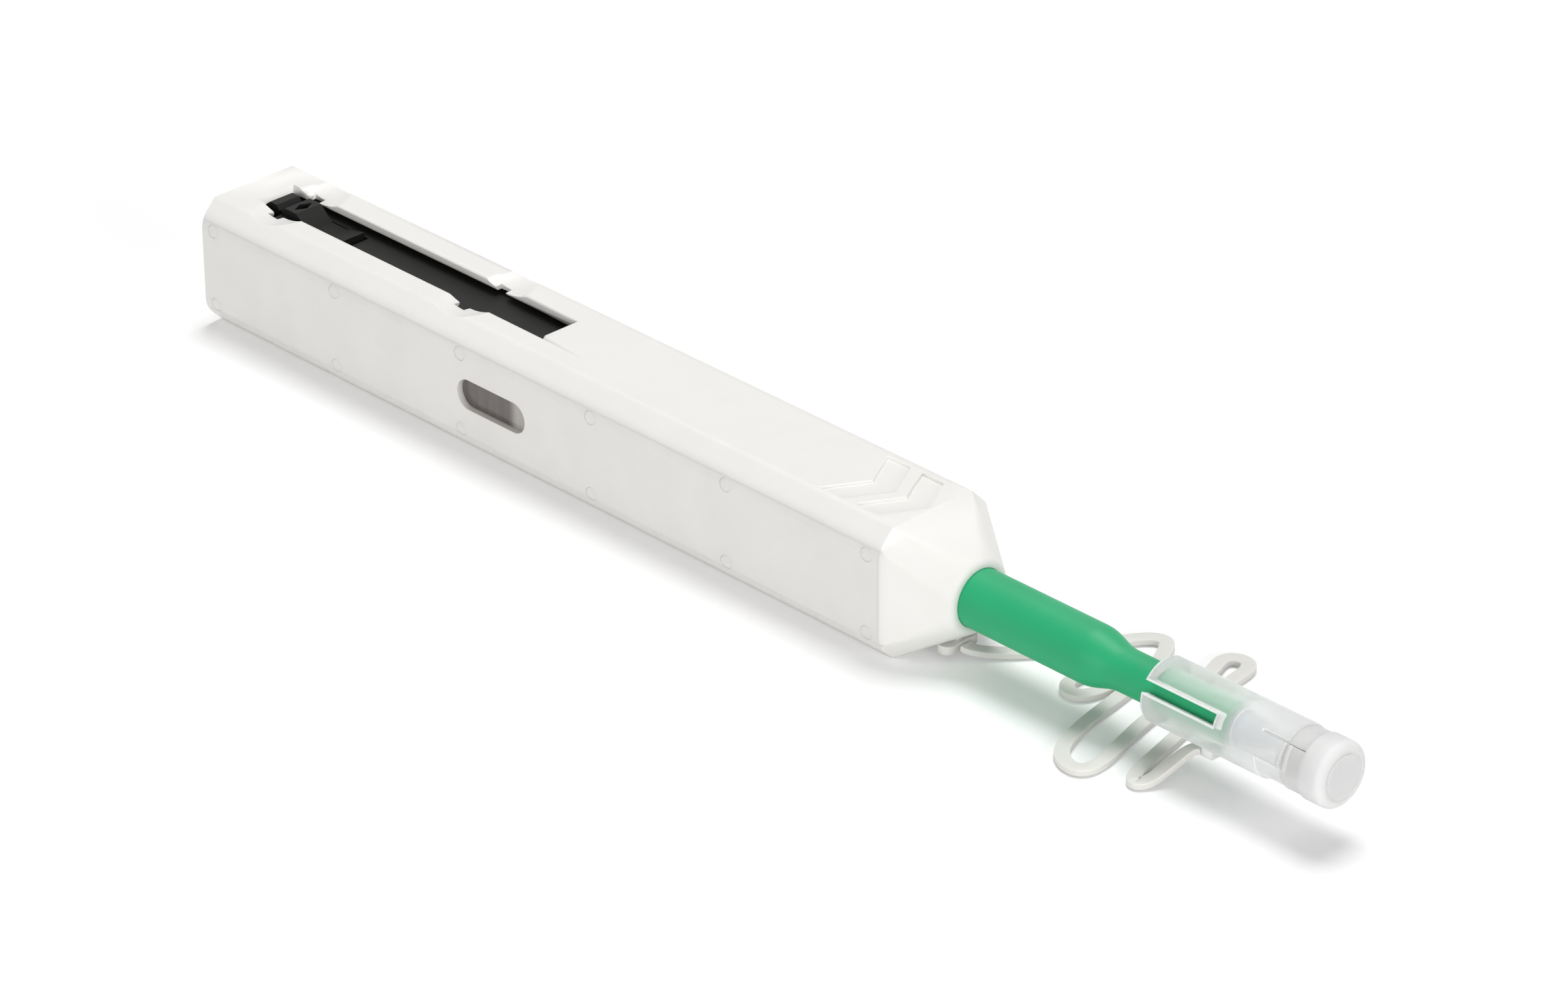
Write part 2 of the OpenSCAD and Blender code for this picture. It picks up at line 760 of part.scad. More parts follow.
module latch_arm() {
    color("#1c1c1c") {
        difference() {
            union() {
                across_y(-arm_half_w, button_w)
                    polygon([[button_x0, arm_low], [wedge_x1, arm_low], [wedge_x1, arm_top + wedge_rise],
                        [wedge_x0, arm_top], [button_x1 + ramp_l, arm_top], [button_x1, button_top],
                        [button_x0 + button_l / 4, button_top], [button_x0, button_top - button_l / 5]]);
                box(lug_x0, lug_x1, -lug_half_w, lug_half_w, lug_low, lug_top);
                disc_y(pivot_x, pivot_z, -pivot_half_l, pivot_d / 2, 2 * pivot_half_l);
                box(pivot_x - pivot_d / 2, pivot_x, -arm_half_w, arm_half_w, pivot_z, arm_top);
            }
            button_recess();
        }
    }
}

// Reels, gear and rack

module reel(x) {
    difference() {
        union() {
            disc_y(x, reel_z, reel_near, flange_r, flange_t, round_n);
            disc_y(x, reel_z, reel_far - flange_t, flange_r, flange_t, round_n);
            disc_y(x, reel_z, reel_near, hub_d / 2, reel_far - reel_near);
        }
        disc_y(x, reel_z, reel_near - cut, axle_d / 2 + run_gap, reel_far - reel_near + 2 * cut);
    }
}

module wound(x, d) {
    difference() {
        disc_y(x, reel_z, reel_near + flange_t, d / 2, reel_far - reel_near - 2 * flange_t, round_n);
        disc_y(x, reel_z, reel_near, hub_d / 2, reel_far - reel_near);
    }
}

module supply_reel() {
    color("dimgray") reel(supply_x);
}

module supply_thread() {
    color("ghostwhite") wound(supply_x, supply_wound_d);
}

module takeup_reel() {
    color("dimgray") reel(takeup_x);
}

module takeup_thread() {
    color("ghostwhite") wound(takeup_x, takeup_wound_d);
}

// Half widths of a tooth at its root, pitch line and tip, as shares of the module
tooth_root_share = 0.78;
tooth_pitch_share = 0.6;
tooth_tip_share = 0.28;

module gear_tooth() {
    polygon([[gear_root_r * 0.9, -gear_module * tooth_root_share],
        [gear_root_r, -gear_module * tooth_root_share],
        [gear_pitch_r, -gear_module * tooth_pitch_share],
        [gear_tip_r, -gear_module * tooth_tip_share],
        [gear_tip_r, gear_module * tooth_tip_share],
        [gear_pitch_r, gear_module * tooth_pitch_share],
        [gear_root_r, gear_module * tooth_root_share],
        [gear_root_r * 0.9, gear_module * tooth_root_share]]);
}

module takeup_gear() {
    color("ivory") {
        difference() {
            translate([takeup_x, gear_near, reel_z])
                rotate([-90, 0, 0])
                    linear_extrude(height = gear_w)
                        union() {
                            circle(r = gear_root_r, $fn = small_n);
                            for (i = [0:gear_teeth - 1]) {
                                rotate(90 + i * 360 / gear_teeth) gear_tooth();
                            }
                        }
            disc_y(takeup_x, reel_z, gear_near - cut, axle_d / 2 + run_gap, gear_w + 2 * cut);
        }
    }
}

module rack_tooth(x) {
    root = gear_module * tooth_root_share * 1.2;
    pitch = gear_module * tooth_pitch_share * 0.9;
    tip = gear_module * tooth_tip_share * 0.9;
    sunk_z = rack_root_z - gear_module / 4;
    polygon([[x - root, sunk_z], [x - root, rack_root_z], [x - pitch, rack_pitch_z], [x - tip, rack_tip_z],
        [x + tip, rack_tip_z], [x + pitch, rack_pitch_z], [x + root, rack_root_z], [x + root, sunk_z]]);
}

module drive_rack() {
    rack_x0 = takeup_x - 1.5 * rack_step;
    color("ivory") {
        box(rack_x0, flange_rear, rack_near, rack_far, rack_low, rack_root_z);
        box(flange_rear - leg_t, flange_rear, rack_near, rack_far, rack_low, -stem_d / 2);
        for (i = [0:rack_tooth_count - 1]) {
            across_y(rack_near, rack_w) rack_tooth(takeup_x + (i - 0.5) * rack_step);
        }
    }
}

// Nozzle, slider and spring

module nozzle_tube() {
    bow = (tube_r - neck_r) / 2;
    steps = 8;
    shoulder = [for (i = [0:steps]) [neck_r + bow * (1 + cos(180 * i / steps)),
        shoulder_x + shoulder_l * i / steps]];
    lip = bow / 2;
    color("#30b67e") {
        turned(concat(
            [[tube_bore_d / 2, flange_front], [tube_r, flange_front]],
            shoulder,
            [[neck_r, neck_end - lip], [neck_r - lip, neck_end], [sleeve_r + press_gap, neck_end],
                [sleeve_r + press_gap, neck_end - sleeve_seat_l],
                [shaft_bore_r, neck_end - sleeve_seat_l],
                [shaft_bore_r, neck_bore_x], [tube_bore_d / 2, neck_bore_x]]));
    }
}

module nozzle_slider() {
    color("#333333") {
        difference() {
            union() {
                disc_x(flange_rear, slider_flange_d / 2, slider_flange_t);
                disc_x(stem_x, stem_d / 2, stem_l);
                disc_x(flange_front, tube_bore_d / 2 - press_gap, spigot_l);
            }
            disc_x(stem_x - cut, stem_bore_d / 2, spigot_x - stem_x + 2 * cut);
        }
    }
}

function ring_faces(rings, sides) = concat(
    [[for (j = [0:sides - 1]) sides - 1 - j]],
    [[for (j = [0:sides - 1]) (rings - 1) * sides + j]],
    [for (i = [0:rings - 2]) for (j = [0:sides - 1])
        [i * sides + j, i * sides + (j + 1) % sides, (i + 1) * sides + j]],
    [for (i = [0:rings - 2]) for (j = [0:sides - 1])
        [i * sides + (j + 1) % sides, (i + 1) * sides + (j + 1) % sides, (i + 1) * sides + j]]);

// The return spring: one wire wound round the stem, with its ends lying flat
module return_spring() {
    per_curl = 10;
    sides = 6;
    turn_r = spring_d / 2;
    wire_r = spring_wire_d / 2;
    x0 = bulkhead_front + wire_r;
    x1 = flange_rear - wire_r;
    rings = spring_curls * per_curl + 1;
    function lead(s) = s < 1 ? s * s / 2 : s > spring_curls - 1
        ? spring_curls - 1 - (spring_curls - s) * (spring_curls - s) / 2 : s - 0.5;
    points = [for (i = [0:rings - 1]) let (s = i / per_curl, a = 360 * s)
        for (j = [0:sides - 1]) let (b = 360 * j / sides, r = turn_r + wire_r * cos(b))
            [x0 + (x1 - x0) * lead(s) / (spring_curls - 1) + wire_r * sin(b), r * cos(a), r * sin(a)]];
    color("silver") {
        polyhedron(points = points, faces = ring_faces(rings, sides), convexity = 8);
    }
}

// The tip

module tip_sleeve() {
    color("slategray") {
        difference() {
            disc_x(neck_end - sleeve_seat_l, sleeve_r, sleeve_seat_l + sleeve_out);
            disc_x(neck_end - sleeve_seat_l - cut, shaft_bore_r, sleeve_seat_l + sleeve_out + 2 * cut);
        }
    }
}

module tip_shaft() {
    groove = thread_d + run_gap;
    color("lightslategray") {
        difference() {
            union() {
                turned([[0, collar_x], [shaft_r, collar_x], [shaft_r, tip_head_x], [tip_r, tip_head_x],
                    [tip_r, tip_end - groove], [tip_r - groove, tip_end], [0, tip_end]]);
                disc_x(collar_x, collar_d / 2, collar_l);
            }
            for (side = [-1, 1]) {
                z0 = side > 0 ? lane_floor : -collar_d;
                z1 = side > 0 ? collar_d : -lane_floor;
                box(collar_x - cut, tip_end + cut, -groove / 2, groove / 2, z0, z1);
            }
            box(tip_end - groove, tip_end + cut, -groove / 2, groove / 2, -tip_r, tip_r);
        }
    }
}

// A stretch of the cleaning thread, as a round tube swept along a route of points
module thread_line(route) {
    sides = 6;
    rings = len(route);
    points = [for (i = [0:rings - 1])
        let (before = route[max(i - 1, 0)], after = route[min(i + 1, rings - 1)],
            way = (after - before) / norm(after - before),
            across = cross(way, [0, 1, 0]) / norm(cross(way, [0, 1, 0])), up = cross(across, way))
        for (j = [0:sides - 1]) let (b = 360 * j / sides)
            route[i] + thread_d / 2 * (across * cos(b) + up * sin(b))];
    polyhedron(points = points, faces = ring_faces(rings, sides), convexity = 8);
}

module feed_thread() {
    pass_z = reel_z + axle_d * 0.75;
    pass_y = reel_far + thread_d * 0.7;
    eye_x = bulkhead_x - thread_d;
    eye_z = stem_d / 3;
    wound_top = [supply_x + supply_wound_d / 8, -near_y / 3, reel_z + supply_wound_d / 2 + thread_d * 0.7];
    wound_low = [takeup_x, 0, reel_z - takeup_wound_d / 2 - thread_d * 0.7];
    color("white") {
        thread_line([wound_top, [eye_x, 0, eye_z], [stem_x, 0, stem_lane], [spigot_x, 0, stem_lane],
            [collar_x - slide_gap, 0, lane]]);
        thread_line([[collar_x - slide_gap, 0, -lane], [spigot_x, 0, -stem_lane], [stem_x, 0, -stem_lane],
            [eye_x, eye_z, -stem_lane], [supply_x + flange_r, pass_y, pass_z],
            [supply_x - flange_r, pass_y, pass_z], wound_low]);
    }
}

module tip_thread() {
    out_x = tip_end - thread_d / 2;
    color("white") {
        thread_line([[collar_x, 0, lane], [out_x, 0, lane], [out_x, 0, -lane], [collar_x, 0, -lane]]);
    }
}

// Cap, lid and tether

module cap_body() {
    color("#dfe6e2", 0.6) {
        difference() {
            union() {
                difference() {
                    turned([[0, cap_rim], [cap_r, cap_rim], [cap_r, cap_collar_x], [skirt_seat_r, cap_collar_x],
                        [skirt_seat_r, cap_front], [seat_r, cap_front], [seat_r, cap_front + lid_seat_h],
                        [0, cap_front + lid_seat_h]]);
                    arc_x(relief_angle, relief_span, cap_step, cap_collar_x - cap_step + cut, cap_neck_r,
                        cap_r + cut);
                }
                arc_x(hinge_angle, hinge_span, cap_step - rib_h, hinge_x - run_gap - cap_step + rib_h,
                    cap_neck_r - rib_h, cap_r);
                arc_x(hinge_angle, hinge_span, hinge_x - rib_t - slide_gap * 3, rib_t, cap_neck_r - rib_h,
                    cap_r + rib_h);
                box(lug_block_x, lug_block_x + lug_block_l, lug_block_y - strap_w / 2,
                    lug_block_y + strap_w / 2, -cap_r - lug_block_h, -cap_bore_r - rib_t);
            }
            disc_x(cap_rim - cut, cap_bore_r, cap_room_x - cap_rim + cut);
            disc_x(cap_rim, cap_room_d / 2, cap_room_end - cap_rim);
            disc_x(cap_room_end - cut, port_d / 2, cap_front_t + lid_seat_h + 2 * cut);
            for (turn = [0, 180]) {
                rotate([turn + slit_angle, 0, 0])
                    box(cap_rim - cut, cap_rim + slit_l, -slit_w / 2, slit_w / 2, 0, cap_d);
            }
        }
    }
}

module cap_lid() {
    steps = 8;
    corner = [for (i = [0:steps]) let (a = 90 * i / steps)
        [cap_r - lid_round + lid_round * cos(a), lid_end - lid_round + lid_round * sin(a)]];
    in_r = cap_r - lid_wall;
    in_end = lid_end - lid_wall;
    ring_r = cap_r * ring_groove_share;
    ring_x = lid_end - ring_groove_depth;
    color("#e8eeea", 0.6) {
        difference() {
            union() {
                turned(concat([[0, lid_x], [cap_r, lid_x]], corner, [[0, lid_end]]));
                arc_x(hinge_angle, hinge_span, hinge_x, lid_x + lid_wall - hinge_x, hinge_low_r, hinge_r);
                arc_x(hinge_angle, hinge_span, hinge_x + slide_gap * 4, rib_t, hinge_low_r, hinge_r + rib_h);
                arc_x(hinge_angle + 180, 360 - hinge_span - 2 * hinge_slit, lid_skirt_x,
                    lid_x + lid_wall - lid_skirt_x, lid_skirt_r - lid_skirt_t, lid_skirt_r);
            }
            turned([[0, lid_x - cut], [in_r, lid_x - cut], [in_r, in_end - lid_round],
                [in_r - lid_round, in_end], [0, in_end]]);
            turned([[ring_r, ring_x], [ring_r + ring_groove_w, ring_x],
                [ring_r + ring_groove_w, lid_end + cut], [ring_r, lid_end + cut]]);
        }
    }
}

module tether_tab() {
    color("#e4e6e2", 0.7) {
        difference() {
            translate([tab_spot_x, 0, tab_low])
                linear_extrude(height = tab_t)
                    union() {
                        for (side = [-1, 1]) {
                            translate([0, side * lobe_step / 2]) circle(r = lobe_d / 2, $fn = small_n);
                        }
                        square([lobe_d * 0.9, lobe_step], center = true);
                    }
            translate([tab_spot_x, 0, tab_low - cut])
                cylinder(h = tab_t + 2 * cut, r = peg_d / 2 + press_gap, $fn = small_n);
        }
    }
}

function curve_point(a, b, c, d, t) = 0.5 * (2 * b + (c - a) * t + (2 * a - 5 * b + 4 * c - d) * t * t
    + (3 * b - a - 3 * c + d) * t * t * t);

module tether_strap() {
    route = strap_route;
    last = len(route) - 1;
    lift = [0, 0, ground];
    line = [for (i = [0:last - 1])
        for (k = [0:(i == last - 1 ? 2 : 1)])
            curve_point(route[max(i - 1, 0)], route[i], route[i + 1], route[min(i + 2, last)], k / 2) + lift];
    rings = len(line);
    half = strap_w / 2;
    thick = strap_t / 2;
    bevel = strap_t / 5;
    section = [[half - bevel, -thick], [half, -thick + bevel], [half, thick - bevel], [half - bevel, thick],
        [-half + bevel, thick], [-half, thick - bevel], [-half, -thick + bevel], [-half + bevel, -thick]];
    sides = len(section);
    points = [for (i = [0:rings - 1])
        let (way = line[min(i + 1, rings - 1)] - line[max(i - 1, 0)],
            flat = [way[1], -way[0], 0] / norm([way[0], way[1], 0]))
        for (p = section) line[i] + flat * p[0] + [0, 0, p[1]]];
    color("#e4e6e2", 0.7) {
        polyhedron(points = points, faces = ring_faces(rings, sides), convexity = 10);
    }
}

in_frame() case_body();
in_frame() case_cover();
in_frame() cover_pins();
in_frame() window_lens();
in_frame() tether_tab();
in_frame() tether_strap();
in_frame() carriage_frame();
in_frame() carriage_plate();
in_frame() plate_screws();
in_frame() reel_axles();
in_frame() latch_arm();
in_frame() supply_reel();
in_frame() supply_thread();
in_frame() takeup_reel();
in_frame() takeup_thread();
in_frame() takeup_gear();
in_frame() nozzle_tube();
in_frame() nozzle_slider();
in_frame() drive_rack();
in_frame() return_spring();
in_frame() tip_sleeve();
in_frame() tip_shaft();
in_frame() tip_thread();
in_frame() feed_thread();
in_frame() cap_body();
in_frame() cap_lid();
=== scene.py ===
# %% [markdown]
# # A fibre optic cleaning pen, dressed for a studio picture
# The CAD model gives every rigid shape, every joint and every name. This script rounds the edges
# that a mould would round, rebuilds the flexible strap, and gives each piece a procedural material
# whose patterns are scaled in millimetres. It is a lesson: a cell of text says what a piece or a
# finish is on the real pen, how it could be made, and why it is made this way here.

# %% Imports and the frame
import json
from math import cos, hypot, pi, radians, sin, tan

import bmesh
import bpy
import numpy as np
from mathutils import Matrix, Vector


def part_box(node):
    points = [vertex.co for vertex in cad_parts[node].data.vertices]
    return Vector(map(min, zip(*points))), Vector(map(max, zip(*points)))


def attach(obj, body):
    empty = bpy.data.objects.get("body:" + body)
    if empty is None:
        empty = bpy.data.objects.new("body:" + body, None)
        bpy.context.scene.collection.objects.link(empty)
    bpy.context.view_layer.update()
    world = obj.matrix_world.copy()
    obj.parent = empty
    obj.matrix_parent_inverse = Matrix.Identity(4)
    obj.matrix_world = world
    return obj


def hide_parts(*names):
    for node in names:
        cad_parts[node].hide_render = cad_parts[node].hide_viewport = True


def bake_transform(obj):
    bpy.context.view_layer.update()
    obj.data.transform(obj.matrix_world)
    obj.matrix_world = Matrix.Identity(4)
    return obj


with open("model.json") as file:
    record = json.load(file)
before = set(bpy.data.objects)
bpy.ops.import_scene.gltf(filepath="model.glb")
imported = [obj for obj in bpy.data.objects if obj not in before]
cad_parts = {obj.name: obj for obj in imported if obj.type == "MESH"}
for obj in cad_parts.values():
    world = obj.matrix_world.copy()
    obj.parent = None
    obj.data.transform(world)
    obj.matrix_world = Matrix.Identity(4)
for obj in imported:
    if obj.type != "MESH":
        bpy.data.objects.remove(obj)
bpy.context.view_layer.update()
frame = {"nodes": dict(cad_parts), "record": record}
MM = 0.001

# %% [markdown]
# ## Where things are
# The frame's origin lies on the ground, under the middle of the case's straight part. Sizes on the
# pen are easier to read in millimetres from the case's rear face and from the pen's own axis, so
# two small functions turn those into the frame's metres.

# %% Places along the pen
case_low, case_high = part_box("case_body")
REAR = case_low[0]
AXIS_Z = case_high[2] / 2


def at(x, y, z):
    """A point in metres, from millimetres ahead of the rear face, beside and above the pen's axis."""
    return Vector((REAR + x * MM, y * MM, AXIS_Z + z * MM))


def on_ground(x, y, z):
    """The same, with z measured from the ground that the pen lies on."""
    return Vector((REAR + x * MM, y * MM, z * MM))


print("case from", round(REAR, 5), "axis height", round(AXIS_Z, 5))

# %% [markdown]
# ## Camera
# A long lens far away keeps the long edges of a thin tool nearly parallel, as in a catalogue. Place,
# turn and focal length were worked out from the straight edges of the case in the photograph: 28
# degrees above the horizon, 43 degrees to the right of the pen's own line. The optical centre isn't
# the picture's middle, so the sensor is shifted to match.

# %% Camera
CAMERA_AZ = radians(-43.1236)
CAMERA_EL = radians(28.2821)
CAMERA_ROLL = radians(-0.6262)
CAMERA_DISTANCE = 0.80994
AIM = on_ground(90, 0, 9)
FOCUS_PX = 10122.86
IMAGE_W, IMAGE_H = 2405, 1514
CENTRE_PX = (1115.616, 724.547)
SENSOR_MM = 36.0
CLIP_NEAR, CLIP_FAR = 0.05, 20


def make_camera():
    """Back, right and up are the camera's own axes: back points from the aim to the camera, right is
    level, up is square to both, and the roll turns the last two about the first."""
    back = Vector((cos(CAMERA_EL) * cos(CAMERA_AZ), cos(CAMERA_EL) * sin(CAMERA_AZ), sin(CAMERA_EL)))
    right = Vector((-sin(CAMERA_AZ), cos(CAMERA_AZ), 0))
    up = back.cross(right)
    turned_right = right * cos(CAMERA_ROLL) + up * sin(CAMERA_ROLL)
    turned_up = up * cos(CAMERA_ROLL) - right * sin(CAMERA_ROLL)
    data = bpy.data.cameras.new("camera")
    data.sensor_width = SENSOR_MM
    data.lens = SENSOR_MM * FOCUS_PX / IMAGE_W
    data.shift_x = (IMAGE_W / 2 - CENTRE_PX[0]) / IMAGE_W
    data.shift_y = (CENTRE_PX[1] - IMAGE_H / 2) / IMAGE_W
    data.clip_start, data.clip_end = CLIP_NEAR, CLIP_FAR
    camera = bpy.data.objects.new("camera", data)
    bpy.context.scene.collection.objects.link(camera)
    turn = Matrix((turned_right, turned_up, back)).transposed().to_4x4()
    camera.matrix_world = Matrix.Translation(AIM + back * CAMERA_DISTANCE) @ turn
    bpy.context.scene.camera = camera
    return camera


camera = make_camera()
print("camera at", [round(v, 4) for v in camera.location], "lens", round(camera.data.lens, 2))

# %% [markdown]
# ## Colours and shader nodes
# Plastic colours are read off as sRGB hex values, but shaders add up light, so one function turns
# hex into linear numbers. A material could be built by hand in the node editor. One function that
# adds a node with its settings and links keeps it in the script, where every number can be read.

# %% Colours and nodes


def srgb(code):
    """Linear RGBA from an sRGB hex colour: low values divide by 12.92, the rest follow the 2.4 power."""
    values = [int(code[i:i + 2], 16) / 255 for i in (0, 2, 4)]
    return tuple(v / 12.92 if v <= 0.04045 else ((v + 0.055) / 1.055) ** 2.4 for v in values) + (1.0,)


def add(tree, kind, settings=None, **inputs):
    """Adds a shader node. Settings are its own properties; inputs are socket values or sockets to
    link, by the socket's name or, as i0, i1 and so on, by its number."""
    node = tree.nodes.new("ShaderNode" + kind)
    for key, value in (settings or {}).items():
        setattr(node, key, value)
    for key, value in inputs.items():
        name = key.replace("_", " ")
        socket = node.inputs[int(key[1:])] if key[1:].isdigit() else node.inputs[name]
        if isinstance(value, bpy.types.NodeSocket):
            tree.links.new(value, socket)
        else:
            socket.default_value = value
    return node


def new_material(name):
    """A node material that is still empty, and its tree."""
    material = bpy.data.materials.new(name)
    material.use_nodes = True
    material.node_tree.nodes.clear()
    return material, material.node_tree


WHITE = srgb("ffffff")
print("the case's white in linear light:", [round(v, 3) for v in srgb("f1efec")])

# %% [markdown]
# ## Meshes from numpy grids
# A flexible piece has no CAD shape to copy. Its surface is a grid: rings of points, one after the
# other along the piece. Numpy works out all the points at once, and the faces follow from their
# numbers, so no loop runs over the points.

# %% Mesh helpers


def link_piece(name, mesh):
    piece = bpy.data.objects.new(name, mesh)
    bpy.context.scene.collection.objects.link(piece)
    return piece


def mesh_from(name, points, faces):
    """A smooth shaded piece from an array with one point a row and from lists of point numbers."""
    mesh = bpy.data.meshes.new(name)
    mesh.from_pydata(points.tolist(), [], faces)
    mesh.polygons.foreach_set("use_smooth", [True] * len(mesh.polygons))
    mesh.update()
    return link_piece(name, mesh)


def grid_faces(rings, sides):
    """Quads between neighbouring rings of equal size, with one face over each end. A point's number
    is its ring times the ring's size, plus its place in the ring."""
    ring = np.arange(rings - 1)[:, None] * sides
    ahead = ring + sides
    side = np.arange(sides)[None, :]
    after = (side + 1) % sides
    quads = np.stack([ring + side, ring + after, ahead + after, ahead + side], axis=-1).reshape(-1, 4)
    rear_end = list(range(sides))[::-1]
    front_end = list(range((rings - 1) * sides, rings * sides))
    return quads.tolist() + [rear_end, front_end]


def values_of(items, name, width=1, kind=float):
    """One attribute of many mesh items, read in one go, as a row of width numbers for each item."""
    values = np.empty(len(items) * width, dtype=kind)
    items.foreach_get(name, values)
    return values.reshape(-1, width) if width > 1 else values


print("faces of a box made of two rings of four:", len(grid_faces(2, 4)))

# %% [markdown]
# ## Tether strap: its line
# A thin moulded strap keeps the cap from getting lost. It leaves the tab under the nose, lies in
# loose folds on the ground and climbs to the cap. A curve object with a bevel could draw it, but
# its flat side would roll over in the tight loops. So the route's points, which are those of the
# CAD, are joined by a smooth line, and a flat section is carried along it.

# %% Strap route
STRAP_ROUTE = [
    (131.2, 0, 1.3), (132.1, 0.2, 1.1), (133.8, 2.1, 0.6), (136.4, 5.0, 0.5), (138.8, 8.3, 0.5),
    (141.0, 12.4, 0.5), (142.8, 15.8, 0.5), (144.6, 18.3, 0.5), (146.3, 18.8, 0.5), (147.5, 17.6, 0.5),
    (148.8, 15.2, 0.5), (149.8, 12.8, 0.5), (149.0, 10.8, 0.5), (146.8, 9.2, 0.5), (145.2, 7.0, 0.5),
    (144.8, 4.4, 0.5), (145.5, 2.5, 0.5), (147.2, 1.9, 0.5), (148.6, 3.2, 0.5), (149.0, 5.6, 0.5),
    (149.4, 7.6, 0.5), (150.7, 7.8, 0.5), (151.4, 5.6, 0.5), (152.8, -1.7, 0.5), (154.6, -7.3, 0.5),
    (156.5, -9.6, 0.5), (159.0, -10.4, 0.5), (160.4, -9.2, 0.5), (160.2, -6.2, 0.5), (158.9, -1.6, 0.5),
    (157.5, 3.4, 0.5), (156.3, 10.0, 0.5), (155.3, 16.8, 0.5), (154.1, 20.0, 0.5), (154.8, 21.7, 0.5),
    (156.7, 22.0, 0.5), (157.9, 20.4, 0.5), (158.3, 16.8, 0.5), (160.3, 10.0, 0.5), (162.5, 3.3, 0.5),
    (164.2, -3.4, 0.5), (165.2, -6.6, 0.5), (166.4, -7.6, 0.5), (167.2, -6.5, 0.6), (167.8, -4.9, 1.4),
    (168.6, -2.8, 2.8), (169.4, -1.3, 3.8), (170.5, -0.8, 4.1)]
print("route points:", len(STRAP_ROUTE))

# %% A smooth line through the route
STRAP_SAMPLES = 8
EASING_PASSES = 3


def smooth_curve(route, per_step):
    """Points on a Catmull-Rom curve through the route: each step is a cubic of its four neighbours,
    whose slope at a point is half the way from the point before to the point after."""
    p = np.array(route, dtype=float)
    last = len(p) - 1
    i = np.arange(last)
    near = (p[np.maximum(i - 1, 0)], p[i], p[i + 1], p[np.minimum(i + 2, last)])
    a, b, c, d = (v[:, None, :] for v in near)
    t = (np.arange(per_step) / per_step)[None, :, None]
    points = 0.5 * (2 * b + (c - a) * t + (2 * a - 5 * b + 4 * c - d) * t ** 2
                    + (3 * b - a - 3 * c + d) * t ** 3)
    return np.concatenate([points.reshape(-1, 3), p[-1:]])


def eased(points, passes):
    """Averages each inner point with its two neighbours on either side, so that the loops come out
    round, as a moulded strap's do; the ends stay where they are."""
    line = points.copy()
    for _ in range(passes):
        line[2:-2] = (line[:-4] + line[1:-3] + line[2:-2] + line[3:-1] + line[4:]) / 5
    return line


def length_of(points):
    """The sum of the straight steps from point to point."""
    return float(np.linalg.norm(np.diff(points, axis=0), axis=1).sum())


route_in_metres = [tuple(on_ground(*point)) for point in STRAP_ROUTE]
strap_line = eased(smooth_curve(route_in_metres, STRAP_SAMPLES), EASING_PASSES)
print("whole strap mm:", round(length_of(strap_line) / MM, 1))

# %% [markdown]
# ## Tether strap: its section and sweep
# The strap is moulded flat, 1.9 mm wide and 0.8 mm thick, with slightly broken edges. It lies on
# the ground like a tape: its flat side stays up and its edges stay level. So the section can be
# turned by the line's direction in the plan alone, which never lets it roll over.

# %% Strap section
STRAP_W = 1.9
STRAP_T = 0.8
STRAP_CORNER = 0.15
CORNER_POINTS = 4


def strap_section():
    """The strap's outline as (across, up) in millimetres: a rectangle whose corners are quarter
    circles of a small radius. The left half is the right half turned round the middle."""
    half_w, half_t, r = STRAP_W / 2, STRAP_T / 2, STRAP_CORNER
    turn = np.linspace(0, pi / 2, CORNER_POINTS)
    low = np.stack([half_w - r + r * np.sin(turn), -half_t + r - r * np.cos(turn)], axis=1)
    high = np.stack([half_w - r + r * np.cos(turn), half_t - r + r * np.sin(turn)], axis=1)
    right = np.concatenate([low, high])
    return np.concatenate([right, -right])


print("points round the strap:", len(strap_section()))

# %% Section carried along a line
INNER_ROOM = 0.9
ALMOST_STRAIGHT = 1e-6


def strap_stretch(name, line):
    """Sweeps the section along the line. Across is the line's direction turned a quarter round in the
    plan, and up is square to both. Inside a bend the section is held within nine tenths of the bend's
    radius, which is one over the turning per metre, so that its inner edge doesn't fold over."""
    way = np.gradient(line, axis=0)
    across = np.stack([way[:, 1], -way[:, 0], np.zeros(len(way))], axis=1)
    across /= np.linalg.norm(across, axis=1)[:, None]
    pace = np.linalg.norm(way, axis=1)
    turning = np.gradient(way / pace[:, None], axis=0) / pace[:, None]
    inward = (turning * across).sum(axis=1)
    up = np.cross(across, way)
    up /= np.linalg.norm(up, axis=1)[:, None]
    up *= np.sign(up[:, 2:])
    section = strap_section() * MM
    out = np.repeat(section[None, :, 0], len(line), axis=0)
    room = INNER_ROOM / (np.abs(inward) + ALMOST_STRAIGHT)
    inside = out * np.sign(inward)[:, None] > 0
    out = np.where(inside, np.sign(out) * np.minimum(np.abs(out), room[:, None]), out)
    points = (line[:, None, :] + across[:, None, :] * out[:, :, None]
              + up[:, None, :] * section[None, :, 1:])
    return mesh_from(name, points.reshape(-1, 3), grid_faces(len(line), len(section)))


# %% [markdown]
# ## Tether strap: three stretches
# The strap's ends are on bodies that move apart in three steps: case to carriage, carriage to
# nozzle, nozzle to cap. A blend bends a piece between two bodies only, so the strap is cut into
# three. Each cut lies where the pieces on both sides follow one body whole, so they stay end to end.

# %% Three stretches
REAR_CUT = 11 * STRAP_SAMPLES
FRONT_CUT = 38 * STRAP_SAMPLES - 3
stretches = [("strap_rear", strap_line[:REAR_CUT + 1]),
             ("strap_middle", strap_line[REAR_CUT:FRONT_CUT + 1]),
             ("strap_front", strap_line[FRONT_CUT:])]
strap_pieces = [strap_stretch(name, line) for name, line in stretches]
for name, line in stretches:
    print(name, "length mm:", round(length_of(line) / MM, 1))

